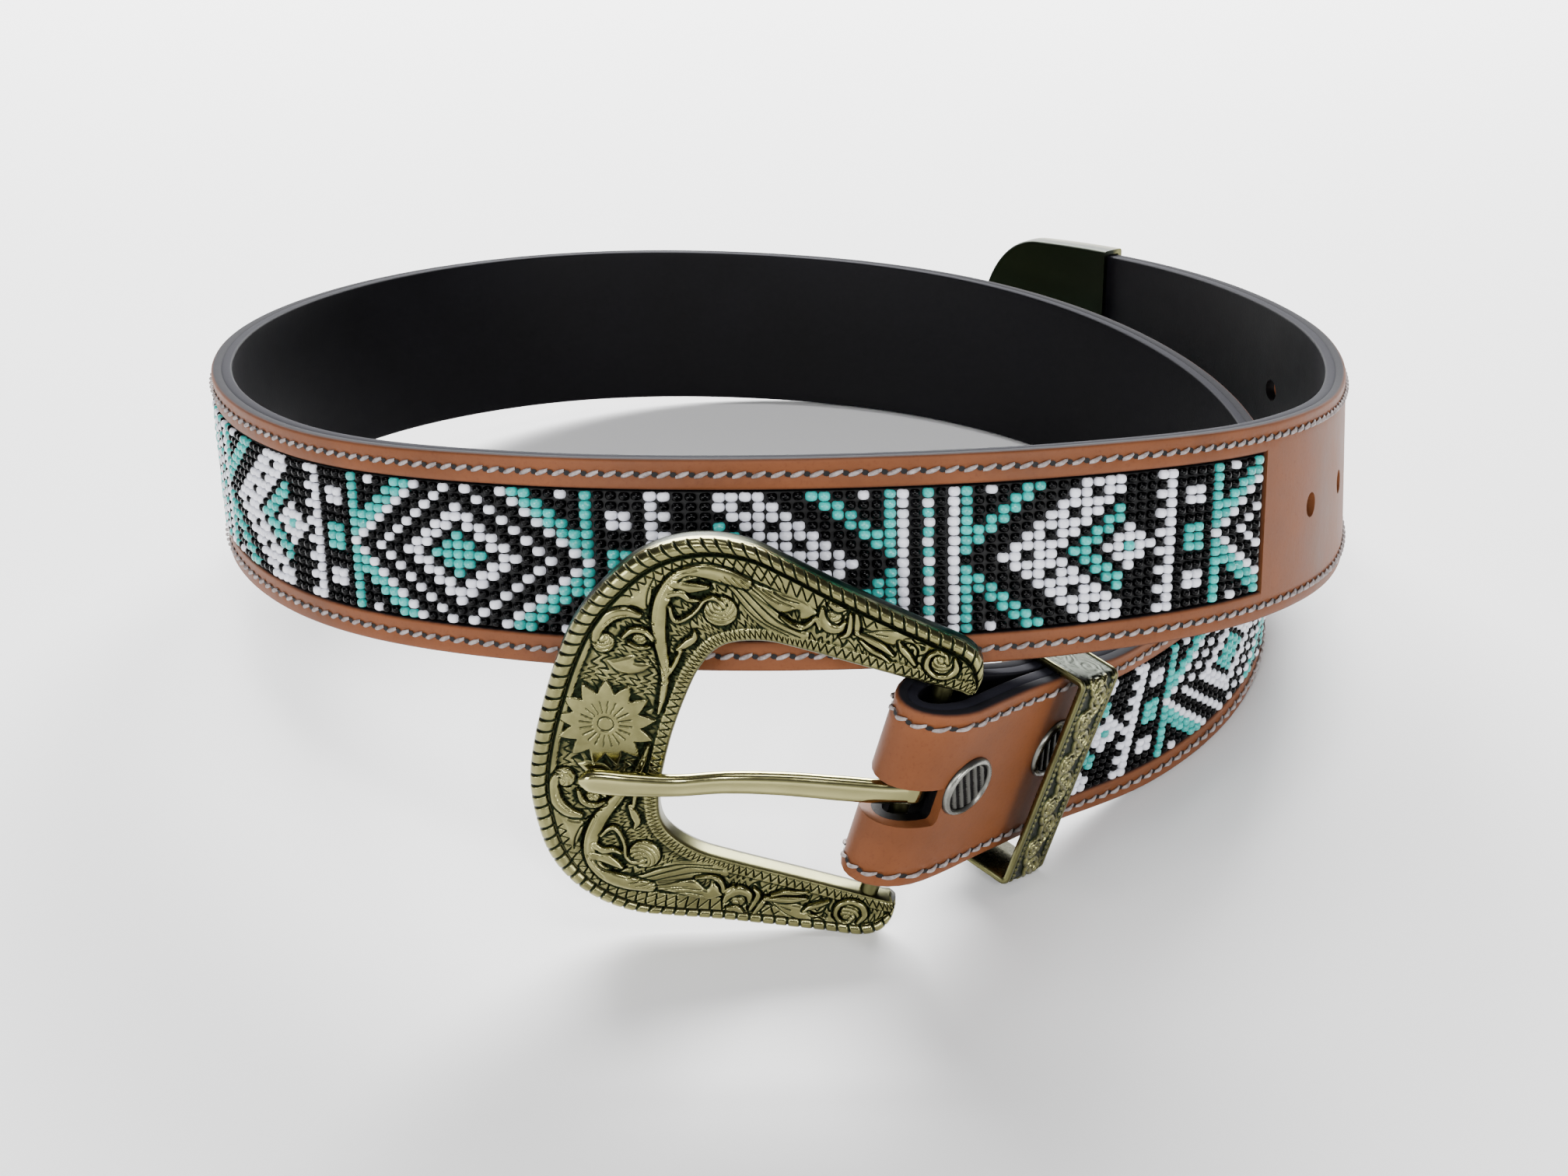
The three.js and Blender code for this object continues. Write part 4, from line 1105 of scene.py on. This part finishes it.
def build_keeper():
    """Loop round the doubled strap: plain rims, a row of beads along each, and curls on a stem."""
    at, wide, wall = 27.0, 12.4, 1.2
    high, low = STRAP_WIDTH + 0.4 + wall, -3.7 - wall
    front, rear = 4.0 + wall, -(2 * LEATHER + 0.3 + 1.7) - wall
    radius = 1.5
    corners = [(high, front), (high, rear), (low, rear), (low, front)]
    middle_w, middle_n = (high + low) / 2, (front + rear) / 2
    path, outward = [], []
    for (w, n), start in zip(corners, (0, -90, -180, -270)):
        centre = (w - radius * np.sign(w - middle_w), n - radius * np.sign(n - middle_n))
        for angle in np.radians(np.linspace(start + 90, start, 7)):
            direction = (math.cos(angle), math.sin(angle))
            path.append((centre[0] + radius * direction[0], centre[1] + radius * direction[1]))
            outward.append(direction)
    path = np.array(path + path[:1])
    outward = np.array(outward + outward[:1])
    run = run_along(path)
    count = 560
    rim = 1.0
    places = np.linspace(0, run[-1], count, endpoint=False)
    w = np.interp(places, run, path[:, 0])
    n = np.interp(places, run, path[:, 1])
    out = unit(np.stack([np.interp(places, run, outward[:, 0]), np.interp(places, run, outward[:, 1])], -1))
    s = np.linspace(-wide / 2, wide / 2, 72)
    edge = wide / 2 - np.abs(s)
    on_front = smoothstep(front - 1.2, front - 0.3, n)[:, None]
    x, y = s[None, :], places[:, None]
    beads = np.clip(1 - (((edge - 1.75) / 0.62) ** 2 + ((y / 1.25 % 1 - 0.5) / 0.5) ** 2), 0, 1)
    chased = 0.42 * np.sqrt(beads)
    turn = 9.4
    for start, side in ((0.0, 1), (turn / 2, -1)):
        u = (y - start) % turn - turn / 2
        r = np.hypot(x - 1.1 * side, u)
        angle = np.arctan2(u * side, x - 1.1 * side)
        coil = np.abs(((r - 0.22 * angle) / 1.4) % 1 - 0.5) * 1.4
        curl = smoothstep(0.05, 0.55, coil) * smoothstep(2.9, 2.4, r)
        chased = np.maximum(chased, 0.62 * np.sqrt(curl))
    stem = np.abs(x - 2.3 * np.sin(2 * math.pi * y / turn))
    chased = np.maximum(chased, 0.68 * np.sqrt(np.clip(1 - (stem / 0.62) ** 2, 0, 1)))
    ticks = smoothstep(0.22, 0.08, np.abs(((x * 0.7 + y) / 1.3) % 1 - 0.5) * 1.3)
    chased -= 0.14 * ticks * (chased > 0.35)
    bulge = 0.30 * np.sqrt(np.clip(1 - ((edge - 0.5) / 0.5) ** 2, 0, 1))
    rise = np.where(edge < rim, bulge, np.where(edge > rim, chased * (0.15 + 0.85 * on_front), 0))
    middle_line = np.stack([w, n], -1)[:, None]
    outer = middle_line + out[:, None] * (rise - 0.1)[..., None]
    patina_and_shade = np.where(edge < rim, 0.45, np.clip(0.95 - 1.6 * rise, 0, 1))
    inner_s = np.array([wide / 2 - 0.15, wide / 2 - 0.4, -wide / 2 + 0.4, -wide / 2 + 0.15])
    inner = middle_line - out[:, None] * np.array([0.9, 1.2, 1.2, 0.9])[None, :, None]
    around = np.concatenate([outer, inner], axis=1)
    points = place(at, around[..., 0], around[..., 1], np.concatenate([s, inner_s]))
    patina_and_shade = np.concatenate([patina_and_shade, np.full((count, len(inner_s)), 0.35)], axis=1)
    shape = (points, grid_faces(count, points.shape[1], True, True))
    add_solid("keeper_loop", shape, 70, ANTIQUE, "loop", ["keeper"], patina_and_shade)


build_keeper()


def build_screw(number, s):
    middle = STRAP_WIDTH / 2 + 2.0
    angles = circle(64)

    def turned(rows, base=0.0):
        return tube([place(s, middle + r * np.sin(angles), base + h, r * np.cos(angles)) for r, h in rows])

    rim = [(0.0, 0.25), (1.5, 0.25), (4.4, 0.25), (4.75, 0.30), (4.9, 0.85), (5.15, 1.15), (5.5, 1.08),
           (5.8, 0.75), (5.98, 0.35), (5.98, 0.05), (2.0, 0.05), (2.0, -8.0)]
    patina_and_shade = np.repeat([0.9, 0.9, 1.0, 0.9, 0.3, 0.0, 0.0, 0.1, 0.4, 0.8, 0.8, 0.8], len(angles))
    add_solid(f"screw_rim_{number}", turned(rim), 40, NICKEL, "strap", [f"screw_{number}"], patina_and_shade)
    # Ribbed insert
    size, rib_pitch, count = 4.85, 1.75, 41
    grid = np.linspace(-1, 1, count)
    x, y = np.meshgrid(grid, grid, indexing="ij")
    r = np.maximum(np.abs(x), np.abs(y))
    turn = np.arctan2(y, x)
    x, y = r * np.cos(turn) * size, r * np.sin(turn) * size
    ribs = np.abs((((x * 0.90 + y * 0.43) / rib_pitch) % 1) - 0.5) * 2
    height = 0.36 + 0.42 * smoothstep(0.25, 0.6, ribs) * smoothstep(size, 4.4, np.hypot(x, y))
    shape = (place(s, middle + y, height, x), grid_faces(count, count))
    patina_and_shade = np.clip(1.25 - 0.9 * (height - 0.3) / 0.4, 0.5, 1)
    add_solid(f"screw_insert_{number}", shape, None, NICKEL, "strap", patina_and_shade=patina_and_shade)
    # Flat head on the back of the leaf
    deep = -(2 * LEATHER + leaf_space(np.array(s - 3.5)) + 0.3)
    head = [(0.0, -1.1), (3.0, -1.1), (3.45, -0.7), (3.5, 0.0), (2.0, 0.0), (2.0, 4.0)]
    add_solid(f"screw_back_{number}", turned(head, deep), 40, NICKEL, "strap", patina_and_shade=0.25)


build_screw(1, 3.2)
build_screw(2, 28.4)


def build_tip():
    """Metal cap over the strap's end: a shell with rounded edges and a rounded nose."""
    def shell(grow):
        nose = NOSE_LENGTH - 0.02 + grow - 1.4
        stations = np.concatenate([np.linspace(TIP_START, NOSE_START, 34)[:-1],
                                   NOSE_START + nose * np.sin(np.linspace(0, math.pi / 2, 26))])
        rings = []
        for s in stations:
            share = max(0.0, (s - NOSE_START) / nose)
            half = (STRAP_WIDTH / 2 + grow) * math.sqrt(max(0.004, 1 - share * share))
            r = min(0.9, 0.45 * half)
            front, rear = grow - r, -(LEATHER + grow) + r
            rows = []
            for side, n, first_angle in ((1, front, 90), (1, rear, 0), (-1, rear, -90), (-1, front, -180)):
                for angle in np.radians(first_angle - 18 * np.arange(6)):
                    rows.append((side * (half - r) + r * math.cos(angle), n + r * math.sin(angle)))
            rows = np.array(rows)
            rings.append(place(s, STRAP_WIDTH / 2 + rows[:, 0], rows[:, 1]))
        return rings

    rings = shell(1.4)[::-1] + shell(0.3)[:30]
    # Painted shade: the cap's back, seen from inside the ring, is made fully dark; the front and edges carry
    # patina only
    corner = np.arange(24) // 6
    patina_and_shade = np.tile(np.where((corner == 1) | (corner == 2), 1.0, 0.4), len(rings))
    add_solid("tip_cap", tube(rings), 60, ANTIQUE, "strap", ["belt_tip"], patina_and_shade)


build_tip()


# Floor, light and world
def build_stage():
    floor_material, shader = new_material("floor", (0.9, 0.9, 0.9), 0.7)
    patches = noise(floor_material, 3, 3)
    join(floor_material, ramp(floor_material, patches, [(0.0, grey(0.88)), (1.0, grey(0.90))]),
         shader.inputs["Base Color"])
    shader.inputs["Specular IOR Level"].default_value = 0.2
    half = 2500
    corners = [(-half, -half, 0), (half, -half, 0), (half, half, 0), (-half, half, 0)]
    floor = make_mesh("floor", corners, [(0, 1, 2, 3)], smooth=False)
    floor.data.materials.append(floor_material)
    world = bpy.data.worlds.new("world")
    world.use_nodes = True
    background = world.node_tree.nodes["Background"]
    direction = node(world, "ShaderNodeTexCoord").outputs["Generated"]
    height = node(world, "ShaderNodeSeparateXYZ", {"Vector": direction}).outputs["Z"]
    join(world, ramp(world, height, [(0.05, (0.72, 0.74, 0.78)), (0.30, (0.10, 0.10, 0.11))]),
         background.inputs["Color"])
    bpy.context.scene.world = world

    def area(name, location, target, size, power):
        data = bpy.data.lights.new(name, "AREA")
        data.shape = "RECTANGLE"
        data.size, data.size_y = size
        data.energy = power
        lamp = bpy.data.objects.new(name, data)
        lamp.location = location
        lamp.rotation_euler = (Vector(target) - Vector(location)).to_track_quat("-Z", "Y").to_euler()
        bpy.context.scene.collection.objects.link(lamp)

    area("back", (0.0, 1.30, 0.80), (0, 0, 0.0), (1.6, 0.6), 135)
    area("above", (-0.1, -0.15, 1.25), (0, -0.05, 0.0), (0.5, 0.25), 5)
    area("left", (-0.80, -0.95, 0.28), (0, 0, 0.03), (0.6, 0.3), 8)
    area("right", (0.80, -0.95, 0.28), (0, 0, 0.03), (0.6, 0.3), 8)
    area("front_left", (-0.22, -0.95, 0.70), (0, -0.05, 0.04), (0.10, 0.10), 3.5)
    area("front_right", (0.22, -0.95, 0.70), (0, -0.05, 0.04), (0.10, 0.10), 3.5)


build_stage()
